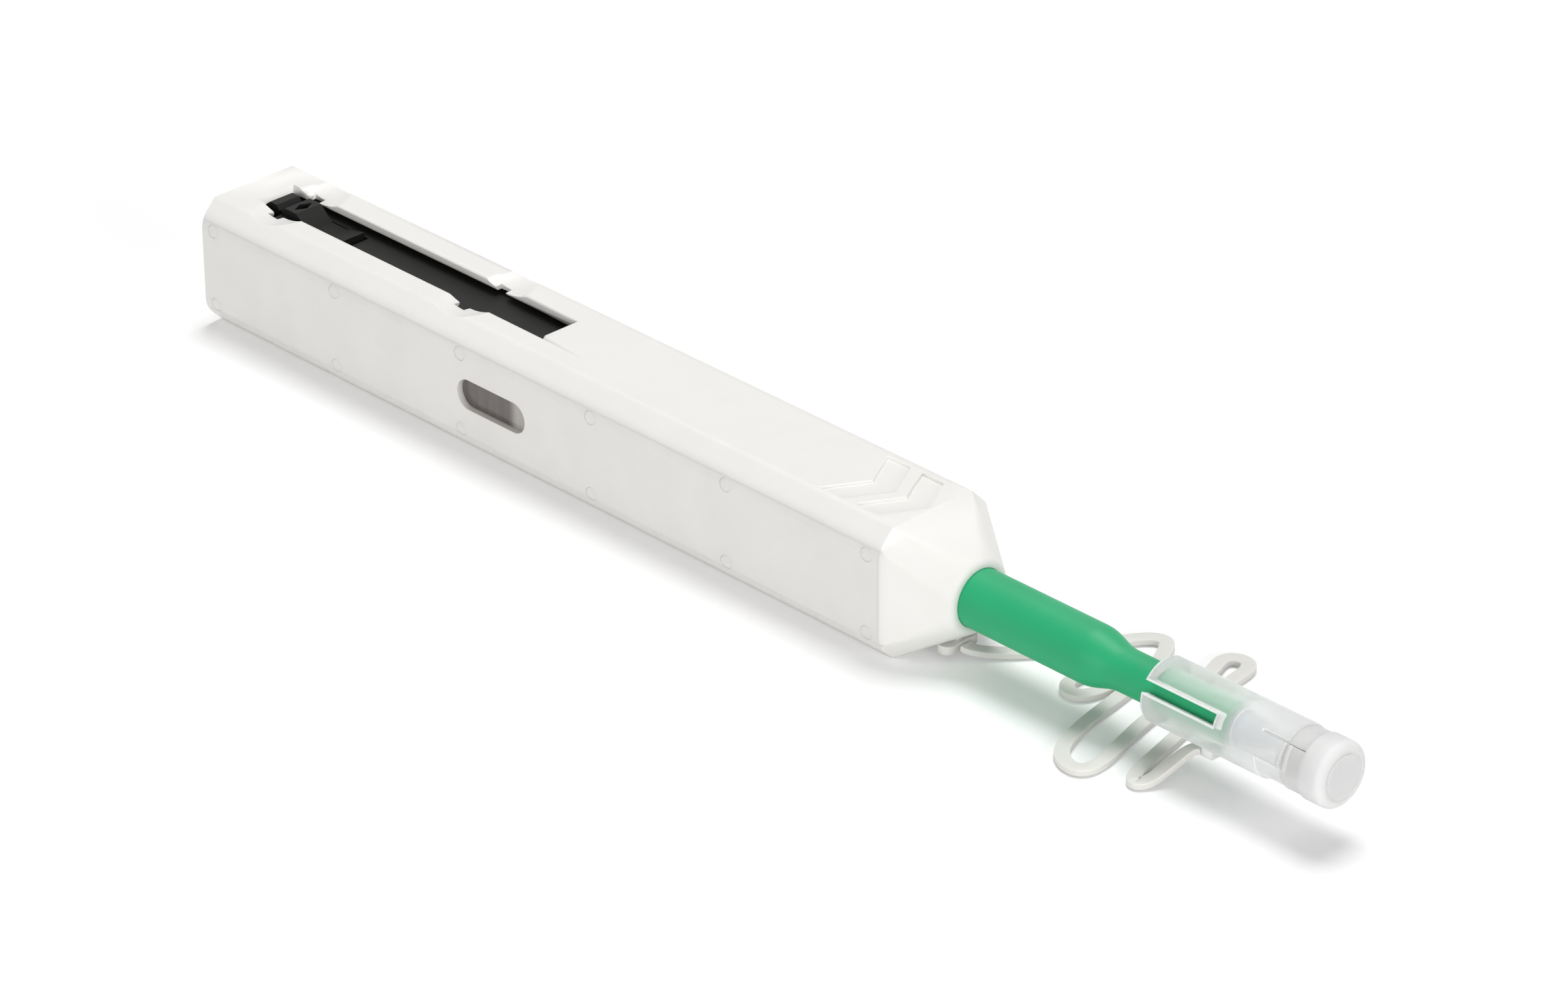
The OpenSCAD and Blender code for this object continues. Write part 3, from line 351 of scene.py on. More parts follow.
# %% Strap stretches baked in place, the CAD strap hidden
joins = [("case", "carriage", 132.5, 148.5), ("carriage", "nozzle", 151.0, 158.0),
         ("nozzle", "cap", 161.5, 170.5)]
for piece, (name, line), (a, b, x0, x1) in zip(strap_pieces, stretches, joins):
    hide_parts("tether_strap")
    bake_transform(piece)
print("strap pieces:", [p.name for p in strap_pieces])

# %% [markdown]
# ## Rounded copies of the CAD pieces
# The real pieces are injection moulded. A mould has no knife edges, and light catches a thin line
# on every rounding. A Bevel modifier could round the CAD's sharp edges, but it gives them all one
# width. Here bmesh bevels a copy of the mesh group by group, and the large faces then set the
# shading normals at their borders, so that they stay flat and only the roundings bend the light.

# %% Bevel and shading
ROUND_STEPS = 3
CREASE = radians(30)
LARGE_FACES_WIN = 100


def bevel(bm, edges, width_mm, steps, clear=True):
    """Rounds edges to a width, keeping clear of neighbouring edges unless told not to."""
    if edges and width_mm:
        bmesh.ops.bevel(bm, geom=edges, offset=width_mm * MM, offset_type="OFFSET", segments=steps,
                        profile=0.5, affect="EDGES", clamp_overlap=clear)


def sharp_edges(bm):
    """The edges between two faces that meet at more than the crease angle."""
    return [e for e in bm.edges if len(e.link_faces) == 2 and e.calc_face_angle() > CREASE]


def flat_beside_round(piece):
    """Weighs the shading normals by face area, and keeps the result in the mesh."""
    weighted = piece.modifiers.new("flat_beside_round", "WEIGHTED_NORMAL")
    weighted.mode = "FACE_AREA"
    weighted.weight = LARGE_FACES_WIN
    weighted.keep_sharp = True
    mesh = bpy.data.meshes.new_from_object(piece.evaluated_get(bpy.context.evaluated_depsgraph_get()))
    piece.modifiers.clear()
    piece.data = mesh


print("an edge is sharp above", round(CREASE * 180 / pi), "degrees")

# %% A rounded copy of one piece
WELD = 2e-6
SAME_PLANE = radians(0.7)
ON_THE_CUT = 1e-7


def cut_along(bm, cuts):
    """Cuts a mesh along planes given as (point, normal), then sorts its points by place and its edges
    and faces by their points. A cut leaves them in an order that changes from run to run, and that
    order decides how shading normals join at a corner."""
    before = bm.verts.layers.int.new("before")
    for i, v in enumerate(bm.verts):
        v[before] = i
    for point, normal in cuts:
        bmesh.ops.bisect_plane(bm, geom=bm.verts[:] + bm.edges[:] + bm.faces[:], dist=ON_THE_CUT,
                               plane_co=point, plane_no=normal)
    rank = {v: i for i, v in enumerate(sorted(bm.verts, key=lambda v: (v.co[:], v[before])))}
    for elements in (bm.edges, bm.faces):
        by_points = sorted(elements, key=lambda e: sorted(rank[v] for v in e.verts))
        place = {e: i for i, e in enumerate(by_points)}
        elements.sort(key=lambda e: place[e])
    bm.verts.sort(key=lambda v: rank[v])
    bm.verts.layers.int.remove(before)


def rounded(node, width_mm, own_edges, cuts):
    """A copy of a CAD node's mesh with its sharp edges bevelled, smooth shaded except across creases.
    own_edges holds (width, steps, test, clear) of edges that get a width of their own after the rest,
    where clear says whether they keep clear of their neighbours. cuts holds (point, normal) of planes
    that add edges without a change of shape."""
    mesh = frame["nodes"][node].data.copy()
    bm = bmesh.new()
    bm.from_mesh(mesh)
    bmesh.ops.remove_doubles(bm, verts=bm.verts, dist=WELD)
    bmesh.ops.dissolve_limit(bm, angle_limit=SAME_PLANE, verts=bm.verts, edges=bm.edges)
    rest, groups = sharp_edges(bm), []
    for own_width, steps, test, clear in own_edges:
        groups.append((own_width, steps, clear, [e for e in rest if test(e)]))
        rest = [e for e in rest if not test(e)]
    bevel(bm, rest, width_mm, ROUND_STEPS)
    for own_width, steps, clear, chosen in groups:
        bevel(bm, [e for e in chosen if e.is_valid], own_width, steps, clear)
    if cuts:
        cut_along(bm, cuts)
    bm.to_mesh(mesh)
    bm.free()
    mesh.name = node + "_rounded"
    mesh.materials.clear()
    mesh.polygons.foreach_set("use_smooth", [True] * len(mesh.polygons))
    piece = link_piece(node + "_look", mesh)
    mesh.set_sharp_from_angle(angle=CREASE)
    flat_beside_round(piece)
    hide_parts(node)
    return piece


# %% [markdown]
# ## Which edge gets which rounding
# The real case isn't rounded evenly. Its long bevels are softest, the slot's rim is crisp, and the
# line along the cover is so tight that the two pieces read as one. Edges could be marked by hand,
# but the mesh is made anew each time. So each group is found by where the two ends of an edge lie,
# in millimetres ahead of the rear face, across, and up from the axis.

# %% Edges of the slot and the arrows
TOP = (case_high[2] - AXIS_Z) / MM
SLOT_FRONT, SLOT_HALF_W, SLOT_RIM_DEPTH = 63, 6.6, 1.5
SLOT_SIDE_L, LEVEL = 8, 0.001
ARROWS_REAR, ARROWS_FRONT, ARROWS_HALF_W, ARROWS_DEPTH = 100, 122.5, 6.4, 1.2


def both_ends(e, test):
    """True where a test of (ahead, across, up) in millimetres holds at both ends of an edge."""
    return all(test((v.co.x - REAR) / MM, v.co.y / MM, (v.co.z - AXIS_Z) / MM) for v in e.verts)


def slot_rim(e):
    """The edges of the slot in the top face, with its notches and finger dishes."""
    return both_ends(e, lambda x, y, z: z > TOP - SLOT_RIM_DEPTH and abs(y) < SLOT_HALF_W
                     and x < SLOT_FRONT)


def slot_side(e):
    """The long straight edges of the slot, between its finger dishes."""
    straight = abs(e.verts[0].co.y - e.verts[1].co.y) < LEVEL * MM
    return slot_rim(e) and straight and e.calc_length() > SLOT_SIDE_L * MM


def arrow_edges(e):
    """The edges of the two arrows in the top face."""
    return both_ends(e, lambda x, y, z: z > TOP - ARROWS_DEPTH and abs(y) < ARROWS_HALF_W
                     and ARROWS_REAR < x < ARROWS_FRONT)


print("the slot's rim is sought above", round(TOP - SLOT_RIM_DEPTH, 2), "mm from the axis")

# %% Edges of the bevels, the nose and the seam
BEVEL_OUT, BEVEL_L, LENGTHWISE = 7.5, 50, 0.99
NOSE_REAR, NOSE_FRONT, REAR_FACE = 122.5, 133, 0.5
BORE_R, NOSE_RIM_R = 4.3, 4.75
COVER_OUT, SEAM_UP, SEAM_SLACK = 8.9, 6.45, 0.05


def long_outer(e):
    """The long edges of the case's bevels, which are softer than the rest."""
    a, b = e.verts[0].co, e.verts[1].co
    outside = max(abs(a.y), abs(a.z - AXIS_Z)) > BEVEL_OUT * MM
    return outside and e.calc_length() > BEVEL_L * MM and abs(a.x - b.x) > LENGTHWISE * e.calc_length()


def nose_rim(e):
    """The round edge where the nose's flat sides end at the nozzle."""
    return both_ends(e, lambda x, y, z: BORE_R < hypot(y, z) < NOSE_RIM_R and x > NOSE_FRONT)


def nose_edges(e):
    """The edges of the tapered nose and of the case's two ends, but not the bore round the nozzle."""
    bore = both_ends(e, lambda x, y, z: hypot(y, z) < BORE_R)
    ends = both_ends(e, lambda x, y, z: x > NOSE_REAR or x < REAR_FACE)
    return ends and not bore and not nose_rim(e)


def seam(e):
    """The edges along the cover, where case and cover meet with hardly a line."""
    return both_ends(e, lambda x, y, z: y < -COVER_OUT and abs(abs(z) - SEAM_UP) < SEAM_SLACK)


print("the seam is sought", SEAM_UP, "mm above and below the axis")

# %% Widths of the roundings
ROUNDING_MM = {
    "case_body": 0.12, "case_cover": 0.06, "cover_pins": 0.12, "tether_tab": 0.15, "carriage_frame": 0.12,
    "carriage_plate": 0.08, "latch_arm": 0.14, "supply_reel": 0.06, "takeup_reel": 0.06,
    "takeup_gear": 0.06, "nozzle_tube": 0.1, "nozzle_slider": 0.08, "drive_rack": 0.06,
    "tip_sleeve": 0.1, "tip_shaft": 0.05, "cap_body": 0.15, "cap_lid": 0.12, "plate_screws": 0.05,
    "reel_axles": 0.08}
OWN_EDGES = {
    "case_body": [(0, 1, seam, True), (0.5, 6, slot_side, False), (0.9, 6, long_outer, True),
                  (0.12, 3, slot_rim, True), (0.4, 4, nose_edges, True), (0.5, 5, nose_rim, False),
                  (0.2, 3, arrow_edges, True)],
    "case_cover": [(0, 1, seam, True)]}
print("pieces to round:", len(ROUNDING_MM))

# %% [markdown]
# ## Making the rounded pieces
# On the real pen the case's bevel runs over into the cover's flat side in one soft curve, though
# the two are separate mouldings. A bevel can't round an edge that two pieces share. So planes first
# cut bands beside the seam into both pieces and the pins, which changes no shape, and the next step
# bends those bands.

# %% Bands beside the seam
SIDE_Y = case_low[1]
SEAM_Z = SEAM_UP * MM
BAND = 1.4 * MM
BAND_STEPS = 6
SIDE_CUTS = [((0, 0, AXIS_Z + side * (SEAM_Z - BAND * k / BAND_STEPS)), (0, 0, 1))
             for side in (-1, 1) for k in range(1, BAND_STEPS + 1)]
BEVEL_CUTS = [((0, SIDE_Y + BAND * cos(pi / 4) * k / BAND_STEPS, 0), (0, 1, 0))
              for k in range(1, BAND_STEPS + 1)]
CUTS = {"case_body": SIDE_CUTS + BEVEL_CUTS, "case_cover": SIDE_CUTS, "cover_pins": SIDE_CUTS}
print("cuts in the case:", len(CUTS["case_body"]))

# %% Rounded pieces
BODY_OF = {node: body for body, nodes in frame["record"]["behaviour"]["bodies"].items() for node in nodes}
looks = {}
for node, width in ROUNDING_MM.items():
    piece = rounded(node, width, OWN_EDGES.get(node, ()), CUTS.get(node, ()))
    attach(piece, BODY_OF[node])
    looks[node] = piece
    print(node, "faces", len(piece.data.polygons))

# %% [markdown]
# ## One curve over the seam
# The side and the bevel meet at 45 degrees, so an arc that touches both spans half of that on each
# side of the seam. Turning the shading normals alone would be quicker, but a lamp that stands below
# the flat side's horizon then leaves a dark line. So the points really move in onto the arc.

# %% The arc
HALF = pi / 8
ARC_R = BAND / tan(HALF)
REACH = BAND * cos(HALF)
APEX = ARC_R * (1 / cos(HALF) - 1)


def beside_seam(place):
    """For points given as rows: the side of the axis they lie on, how far along the seam's own tangent
    they are from it, and how deep below the sharp profile of side and bevel."""
    side = np.sign(place[:, 2] - AXIS_Z)
    out, up = place[:, 1] - SIDE_Y, np.abs(place[:, 2] - AXIS_Z) - SEAM_Z
    along = out * sin(HALF) + up * cos(HALF)
    deep = out * cos(HALF) - up * sin(HALF) - np.abs(along) * tan(HALF)
    return side, along, deep


print("arc radius mm:", round(ARC_R / MM, 2), "deepest gap mm:", round(APEX / MM, 3))

# %% Points moved onto the arc
NEAR_SURFACE = 0.3 * MM
ON_SURFACE = 0.01 * MM
FLAT_SIDE, DIAGONAL, SQUARE_TO_PEN = 0.999, 0.7, 0.02


def round_over_seam(piece):
    """Each point near the surface moves straight in by the gap between the arc and the sharp profile:
    the gap at the seam, plus the arc's fall from its top, minus the profile's fall. The flat faces'
    normals lean from the seam's own direction by the angle whose sine is the way along over the radius."""
    mesh = piece.data
    normal = values_of(mesh.corner_normals, "vector", 3)
    place = values_of(mesh.vertices, "co", 3)
    vertex = values_of(mesh.loops, "vertex_index", kind=np.int64)
    corners = values_of(mesh.polygons, "loop_total", kind=np.int64)
    face = np.repeat(values_of(mesh.polygons, "normal", 3), corners, axis=0)
    side, along, deep = beside_seam(place)
    held = np.clip(along, -REACH, REACH)
    zero = np.zeros(len(side))
    near = (np.abs(along) < REACH) & (np.abs(deep) < NEAR_SURFACE) & (place[:, 1] < 0)
    gap = APEX + ARC_R - np.sqrt(ARC_R ** 2 - held ** 2) - np.abs(along) * tan(HALF)
    inward = np.stack([zero, np.full(len(side), cos(HALF)), -side * sin(HALF)], axis=1)
    lean = HALF + np.arcsin(held / ARC_R)
    arc = np.stack([zero, -np.cos(lean), side * np.sin(lean)], axis=1)
    on_bevel = ((face[:, 1] < -DIAGONAL) & (np.abs(face[:, 2]) > DIAGONAL)
                & (np.abs(face[:, 0]) < SQUARE_TO_PEN))
    flat = (face[:, 1] < -FLAT_SIDE) | on_bevel
    chosen = flat & (np.abs(deep[vertex]) < ON_SURFACE) & (place[vertex, 1] < 0)
    normal[chosen] = arc[vertex][chosen]
    moved = place + np.where(near, gap, 0.0)[:, None] * inward
    mesh.vertices.foreach_set("co", moved.ravel())
    mesh.update()
    mesh.normals_split_custom_set(normal.tolist())
    return int(near.sum()), int(chosen.sum())


for node in ("case_body", "case_cover", "cover_pins"):
    print(node, "points moved and corners turned:", round_over_seam(looks[node]))

# %% [markdown]
# ## Moulded plastic
# Most of the pen is injection moulded: the mould leaves a fine grain, and the plastic shrinks a
# little as it sets, which leaves slow waves and an uneven gloss. A flat colour would look like
# paint. So noise of a real size drives tint, gloss and two bumps, in object coordinates, because
# these shapes have no unwrapped surface and their patterns must not slide when they move.

# %% Patterns of a real size


def mottling(tree, size_mm, detail=2.0, roughness=0.5, stretch=None):
    """Random values from 0 to 1 whose features are about size_mm across: one over the size in metres
    is the pattern's scale. stretch multiplies it per axis."""
    place = add(tree, "TexCoord").outputs["Object"]
    if stretch:
        place = add(tree, "Mapping", Vector=place, Scale=stretch).outputs[0]
    return add(tree, "TexNoise", Vector=place, Scale=1000 / size_mm, Detail=detail,
               Roughness=roughness).outputs["Fac"]


def moulded_skin(tree, waves, waves_deep_mm, grain, grain_deep_mm):
    """The normal of a moulded surface: fine mould grain on slow sink waves, as one bump on another."""
    sink = add(tree, "Bump", Height=waves, Distance=waves_deep_mm * MM, Strength=1.0)
    return add(tree, "Bump", Height=grain, Distance=grain_deep_mm * MM, Strength=1.0,
               Normal=sink.outputs[0]).outputs[0]


print("scale of a 5 mm pattern:", 1000 / 5)

# %% Injection moulded plastic
SINK_MM, SINK_DEEP_MM = 9.0, 0.01
BLOTCH_MM = 5.4
MATTER, GLOSSIER = 0.05, 0.04


def moulded(name, light, dark, roughness, grain_mm, grain_deep_mm, **shader):
    """Opaque moulded plastic: mould grain and sink waves as bump, with uneven tint and gloss."""
    material, tree = new_material(name)
    waves = mottling(tree, SINK_MM, detail=1.0)
    grain = mottling(tree, grain_mm, roughness=0.6)
    blotch = mottling(tree, BLOTCH_MM, detail=3.0)
    tint = add(tree, "Mix", {"data_type": "RGBA"}, i0=blotch, i6=srgb(light), i7=srgb(dark))
    gloss = add(tree, "MapRange", Value=blotch, To_Min=roughness - GLOSSIER, To_Max=roughness + MATTER)
    surface = add(tree, "BsdfPrincipled", Base_Color=tint.outputs["Result"], Roughness=gloss.outputs[0],
                  Normal=moulded_skin(tree, waves, SINK_DEEP_MM, grain, grain_deep_mm), **shader)
    add(tree, "OutputMaterial", Surface=surface.outputs[0])
    return material


print("sink waves", SINK_MM, "mm long and", SINK_DEEP_MM, "mm deep")

# %% [markdown]
# ## ABS: case, cover, nozzle and carriage
# ABS is a stiff plastic with an even satin surface. Light goes a millimetre into white ABS and
# comes out softened, so the white and green ones scatter below the surface, and the black one takes
# a low specular level, which keeps the slot dark as on the real pen. The cover is a touch greyer
# than the case: that grey is painted shade, the shade of the pen's near flank put into its colour.

# %% ABS
WHITE_GLOW = {"Subsurface_Weight": 0.25, "Subsurface_Radius": (1.0, 0.9, 0.8), "Subsurface_Scale": 1.2 * MM}
GREEN_GLOW = {"Subsurface_Weight": 0.1, "Subsurface_Radius": (0.3, 1.0, 0.6), "Subsurface_Scale": 0.8 * MM}
case_white = moulded("abs_white_moulded", "f1efec", "ebe9e5", 0.42, 0.35, 0.002, IOR=1.53, **WHITE_GLOW)
# painted shade: the cover and its pins take a greyer white than the case, for the near flank's shade
cover_white_painted_shade = moulded("abs_white_cover_painted_shade", "eceae7", "e3e1dd", 0.42, 0.35, 0.002, IOR=1.53,
                      **WHITE_GLOW)
nozzle_green = moulded("abs_green_moulded", "22ac74", "1ea26b", 0.5, 0.3, 0.002, IOR=1.53,
                       Specular_IOR_Level=0.35, **GREEN_GLOW)
carriage_black = moulded("abs_black_moulded", "171716", "111110", 0.55, 0.25, 0.003, IOR=1.53,
                         Specular_IOR_Level=0.18)
print("ABS materials:", [m.name for m in (case_white, cover_white_painted_shade, nozzle_green, carriage_black)])

# %% [markdown]
# ## Acetal: latch, reels, gear and tip
# Acetal slides and flexes well, so moving pieces are made of it. It is denser and waxier than ABS.
# The latch button's mould was spark eroded, which gives the coarse matt grain that a thumb grips:
# its grain is thirty times deeper than that of the other pieces.

# %% Acetal
latch_black = moulded("acetal_black_spark_eroded", "1a1a19", "121211", 0.6, 0.22, 0.06, IOR=1.48,
                      Specular_IOR_Level=0.2)
reel_grey = moulded("acetal_warm_grey_moulded", "948a86", "827a76", 0.45, 0.25, 0.002, IOR=1.48)
gear_ivory = moulded("acetal_natural_moulded", "e6e0cf", "dcd5c1", 0.4, 0.25, 0.002, IOR=1.48)
tip_blue = moulded("acetal_blue_grey_moulded", "7d93a6", "6f8598", 0.4, 0.2, 0.002, IOR=1.48)
print("acetal materials:", [m.name for m in (latch_black, reel_grey, gear_ivory, tip_blue)])

# %% [markdown]
# ## Milky polypropylene: where the cap turns white
# Cap, lid and strap are natural polypropylene, which is clear where it is thin and milky where it
# is thick. A wall seen face on lets the dark tip show; seen along its thickness, at the outline and
# at every cut, it is nearly white. Real thickness could be traced through glass, but that is slow
# and noisy. So the faces that cut the wall are marked, and the places near a cut are worked out
# from the cap's own sizes.

# %% Faces that cut the cap's wall
EDGE_ON = 0.5
ON_AXIS = 1e-9


def mark_edges(piece):
    """Writes 1 on faces that cut through a tube's wall: their normal is square to the radius, or they
    lie on an end of the piece."""
    mesh = piece.data
    normal = values_of(mesh.polygons, "normal", 3)
    radius = values_of(mesh.polygons, "center", 3)[:, 1:] - np.array([0, AXIS_Z])
    radius /= np.linalg.norm(radius, axis=1)[:, None] + ON_AXIS
    along_radius = np.abs((normal[:, 1:] * radius).sum(axis=1))
    edge_on = (along_radius < EDGE_ON).astype(np.float32)
    layer = mesh.attributes.new("wall_seen_edge_on", "FLOAT", "FACE")
    layer.data.foreach_set("value", edge_on)
    return int(edge_on.sum())


print("faces that cut the cap's wall:", mark_edges(looks["cap_body"]))

# %% White near the cap's cuts
CAP_RIM_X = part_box("cap_body")[0][0]
SLIT_END_X = at(174.7, 0, 0).x
SLIT_HALF_W = 0.75 * MM
SLIT_ANGLE = radians(62)
BLUSH = 0.32 * MM


def blush_at_cuts(tree):
    """1 within a third of a millimetre of the cap's rim and slits, where moulded edges whiten. Across a
    slit the distance runs square to its plane, along the pen it runs from its end; the larger counts."""
    place = add(tree, "TexCoord").outputs["Object"]
    x = add(tree, "SeparateXYZ", Vector=place).outputs[0]
    square = (0, cos(SLIT_ANGLE), sin(SLIT_ANGLE))
    across = add(tree, "VectorMath", {"operation": "DOT_PRODUCT"}, i0=place, i1=square).outputs["Value"]
    middle = AXIS_Z * sin(SLIT_ANGLE)
    centred = add(tree, "Math", {"operation": "SUBTRACT"}, i0=across, i1=middle).outputs[0]
    beside = add(tree, "Math", {"operation": "ABSOLUTE"}, i0=centred).outputs[0]
    from_side = add(tree, "Math", {"operation": "SUBTRACT"}, i0=beside, i1=SLIT_HALF_W).outputs[0]
    from_end = add(tree, "Math", {"operation": "SUBTRACT"}, i0=x, i1=SLIT_END_X).outputs[0]
    from_slit = add(tree, "Math", {"operation": "MAXIMUM"}, i0=from_side, i1=from_end).outputs[0]
    from_rim = add(tree, "Math", {"operation": "SUBTRACT"}, i0=x, i1=CAP_RIM_X).outputs[0]
    nearest = add(tree, "Math", {"operation": "MINIMUM"}, i0=from_slit, i1=from_rim).outputs[0]
    return add(tree, "MapRange", Value=nearest, From_Min=BLUSH * 0.7, From_Max=BLUSH, To_Min=1.0,
               To_Max=0.0).outputs[0]


print("slit ends", round((SLIT_END_X - CAP_RIM_X) / MM, 1), "mm ahead of the rim")

# %% White along the cap's outline
OUTLINE_BLEND = 0.3
THICKER_OVER = 3.5 * MM
THICK_WHITE = 0.5


def thick_or_outlined(tree):
    """1 where the cap's wall is seen edge on, at its outline or at a cut, rising to a half ahead of the
    slits, where the wall gets thicker. The largest of these counts."""
    outline = add(tree, "LayerWeight", Blend=OUTLINE_BLEND).outputs["Facing"]
    cut = add(tree, "Attribute", {"attribute_name": "wall_seen_edge_on"}).outputs["Fac"]
    veil = add(tree, "Math", {"operation": "MAXIMUM"}, i0=outline, i1=cut).outputs[0]
    veil = add(tree, "Math", {"operation": "MAXIMUM"}, i0=veil, i1=blush_at_cuts(tree)).outputs[0]
    place = add(tree, "TexCoord").outputs["Object"]
    x = add(tree, "SeparateXYZ", Vector=place).outputs[0]
    ahead = add(tree, "MapRange", {"interpolation_type": "SMOOTHSTEP"}, Value=x, From_Min=SLIT_END_X,
                From_Max=SLIT_END_X + THICKER_OVER, To_Min=0.0, To_Max=THICK_WHITE).outputs[0]
    return add(tree, "Math", {"operation": "MAXIMUM"}, i0=veil, i1=ahead).outputs[0]


print("the wall thickens over", round(THICKER_OVER / MM, 1), "mm")

# %% [markdown]
# ## Milky polypropylene: the plastic
# Light that meets natural polypropylene does three things: part goes straight through, part is
# blurred on the way, and the rest scatters inside the wall. One Principled shader covers the last
# two, with a low index that keeps what is behind in its place. A Transparent shader mixed over it
# covers the first, so the tip reads through the cap as a soft dark shape.

# %% Natural polypropylene
MILK_MM, MILK_DEEP_MM = 3.0, 0.02
MILK_GRAIN_MM, MILK_GRAIN_DEEP_MM = 0.25, 0.002
MILK_UNEVEN = 0.05
STRAIGHT_THROUGH = (0.98, 0.99, 0.985, 1)


def milky(name, light, dark, blurred, roughness, scatter_mm, seen_through, whitened=False):
    """Natural polypropylene: blurred and seen_through are the shares of light that come through it.
    Where whitened, both shares fade as the wall is seen along its thickness."""
    material, tree = new_material(name)
    waves = mottling(tree, MILK_MM)
    grain = mottling(tree, MILK_GRAIN_MM)
    tint = add(tree, "Mix", {"data_type": "RGBA"}, i0=waves, i6=srgb(light), i7=srgb(dark))
    gloss = add(tree, "MapRange", Value=waves, To_Min=roughness - MILK_UNEVEN,
                To_Max=roughness + MILK_UNEVEN)
    blurred_share, seen_share = blurred, seen_through
    if whitened:
        veil = thick_or_outlined(tree)
        blurred_share = add(tree, "MapRange", Value=veil, To_Min=blurred, To_Max=0.0).outputs[0]
        seen_share = add(tree, "MapRange", Value=veil, To_Min=seen_through, To_Max=0.0).outputs[0]
    surface = add(tree, "BsdfPrincipled", Base_Color=tint.outputs["Result"], Roughness=gloss.outputs[0],
                  Normal=moulded_skin(tree, waves, MILK_DEEP_MM, grain, MILK_GRAIN_DEEP_MM), IOR=1.3,
                  Transmission_Weight=blurred_share, Subsurface_Weight=0.8,
                  Subsurface_Radius=(1.0, 1.0, 1.0), Subsurface_Scale=scatter_mm * MM)
    if seen_through:
        through = add(tree, "BsdfTransparent", Color=STRAIGHT_THROUGH)
        surface = add(tree, "MixShader", i0=seen_share, i1=surface.outputs[0], i2=through.outputs[0])
    add(tree, "OutputMaterial", Surface=surface.outputs[0])
    return material


cap_milky = milky("polypropylene_natural_cap", "fefefd", "f9faf9", 0.6, 0.5, 2.5, 0.66, whitened=True)
lid_milky = milky("polypropylene_natural_lid", "fdfdfb", "f9f9f7", 0.1, 0.45, 2.0, 0.04)
tether_milky = milky("polypropylene_natural_strap", "e7e5e1", "e1dfdb", 0.0, 0.5, 0.3, 0.0)
print("polypropylene materials:", [m.name for m in (cap_milky, lid_milky, tether_milky)])

# %% [markdown]
# ## Smoky lens
# A thin smoked polycarbonate plate closes the window from inside. It is worn matt by what turns
# behind it, with soft upright streaks, and its front end catches the light and looks pale. Clear
# glass over the reel would show too much. So stretched noise tints a shader that lets only a third
# of the light through, and a ramp along the pen paints the pale end in as a painted highlight.

# %% Polycarbonate lens
LENS_STREAK_MM, UPRIGHT = 1.1, (1, 1, 0.12)
LENS_PAINTED_HIGHLIGHT_FROM, LENS_PAINTED_HIGHLIGHT_OVER = 0.66, 1.8 * MM


def lens_smoky():
    """Smoky polycarbonate: two smoke tones mixed by the streaks, and paler from two thirds of its length,
    where a painted highlight stands for the light that its front end catches.
    """
    material, tree = new_material("polycarbonate_smoky_lens")
    streaks = mottling(tree, LENS_STREAK_MM, detail=3.0, stretch=UPRIGHT)
    place = add(tree, "TexCoord").outputs["Object"]
    x = add(tree, "SeparateXYZ", Vector=place).outputs[0]
    low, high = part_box("window_lens")
    start = low[0] + LENS_PAINTED_HIGHLIGHT_FROM * (high[0] - low[0])
    # painted highlight: from here on a ramp turns the smoke pale, for the light on the lens's front end
    front = add(tree, "MapRange", {"interpolation_type": "SMOOTHSTEP"}, Value=x, From_Min=start,
                From_Max=start + LENS_PAINTED_HIGHLIGHT_OVER, To_Min=0.0, To_Max=1.0).outputs[0]
    smoke = add(tree, "Mix", {"data_type": "RGBA"}, i0=streaks, i6=srgb("5a5350"), i7=srgb("8c837f"))
    tint = add(tree, "Mix", {"data_type": "RGBA"}, i0=front, i6=smoke.outputs["Result"], i7=srgb("cbc5c1"))
    ripple = add(tree, "Bump", Height=streaks, Distance=0.01 * MM, Strength=1.0)
    surface = add(tree, "BsdfPrincipled", Base_Color=tint.outputs["Result"], Roughness=0.22, IOR=1.58,
                  Transmission_Weight=0.35, Normal=ripple.outputs[0], Specular_IOR_Level=0.3)
    add(tree, "OutputMaterial", Surface=surface.outputs[0])
    return material


lens = lens_smoky()
print("lens material:", lens.name)

# %% [markdown]
# ## Cleaning thread
# The thread is a bundle of white microfibre filaments, wound on the reels and laid over the tip.
# Each filament could be its own curve, but they are finer than a pixel. A wave texture draws them
# coarser than they are, 0.36 mm apart, so that the winding still shows. Its bump shades them, and the
# darker tint in the gaps between them is painted shade.

# %% Microfibre thread
YARN_PITCH_MM, YARN_DEEP_MM = 0.36, 0.12


def yarn(name, light, dark):
    """Parallel filaments that shade each other: the wave repeats each 2 pi over its scale, so its scale
    is one over the pitch in metres and over 2 pi."""
    material, tree = new_material(name)
    place = add(tree, "TexCoord").outputs["Object"]
    bands = add(tree, "TexWave", {"bands_direction": "Y", "wave_profile": "SIN"}, Vector=place,
                Scale=1000 / (YARN_PITCH_MM * 2 * pi), Distortion=1.5, Detail=2.0,
                Detail_Scale=3.0).outputs["Fac"]
    # painted shade: the wave's troughs, the gaps where filaments shade each other, take the darker tone
    tint = add(tree, "Mix", {"data_type": "RGBA"}, i0=bands, i6=srgb(dark), i7=srgb(light))
    relief = add(tree, "Bump", Height=bands, Distance=YARN_DEEP_MM * MM, Strength=1.0)
    surface = add(tree, "BsdfPrincipled", Base_Color=tint.outputs["Result"], Roughness=0.85,
                  Normal=relief.outputs[0], Sheen_Weight=0.4, Sheen_Roughness=0.5)
    add(tree, "OutputMaterial", Surface=surface.outputs[0])
    return material


thread_white = yarn("microfibre_thread_white", "f2f2ee", "c9c8c2")
print("thread material:", thread_white.name)

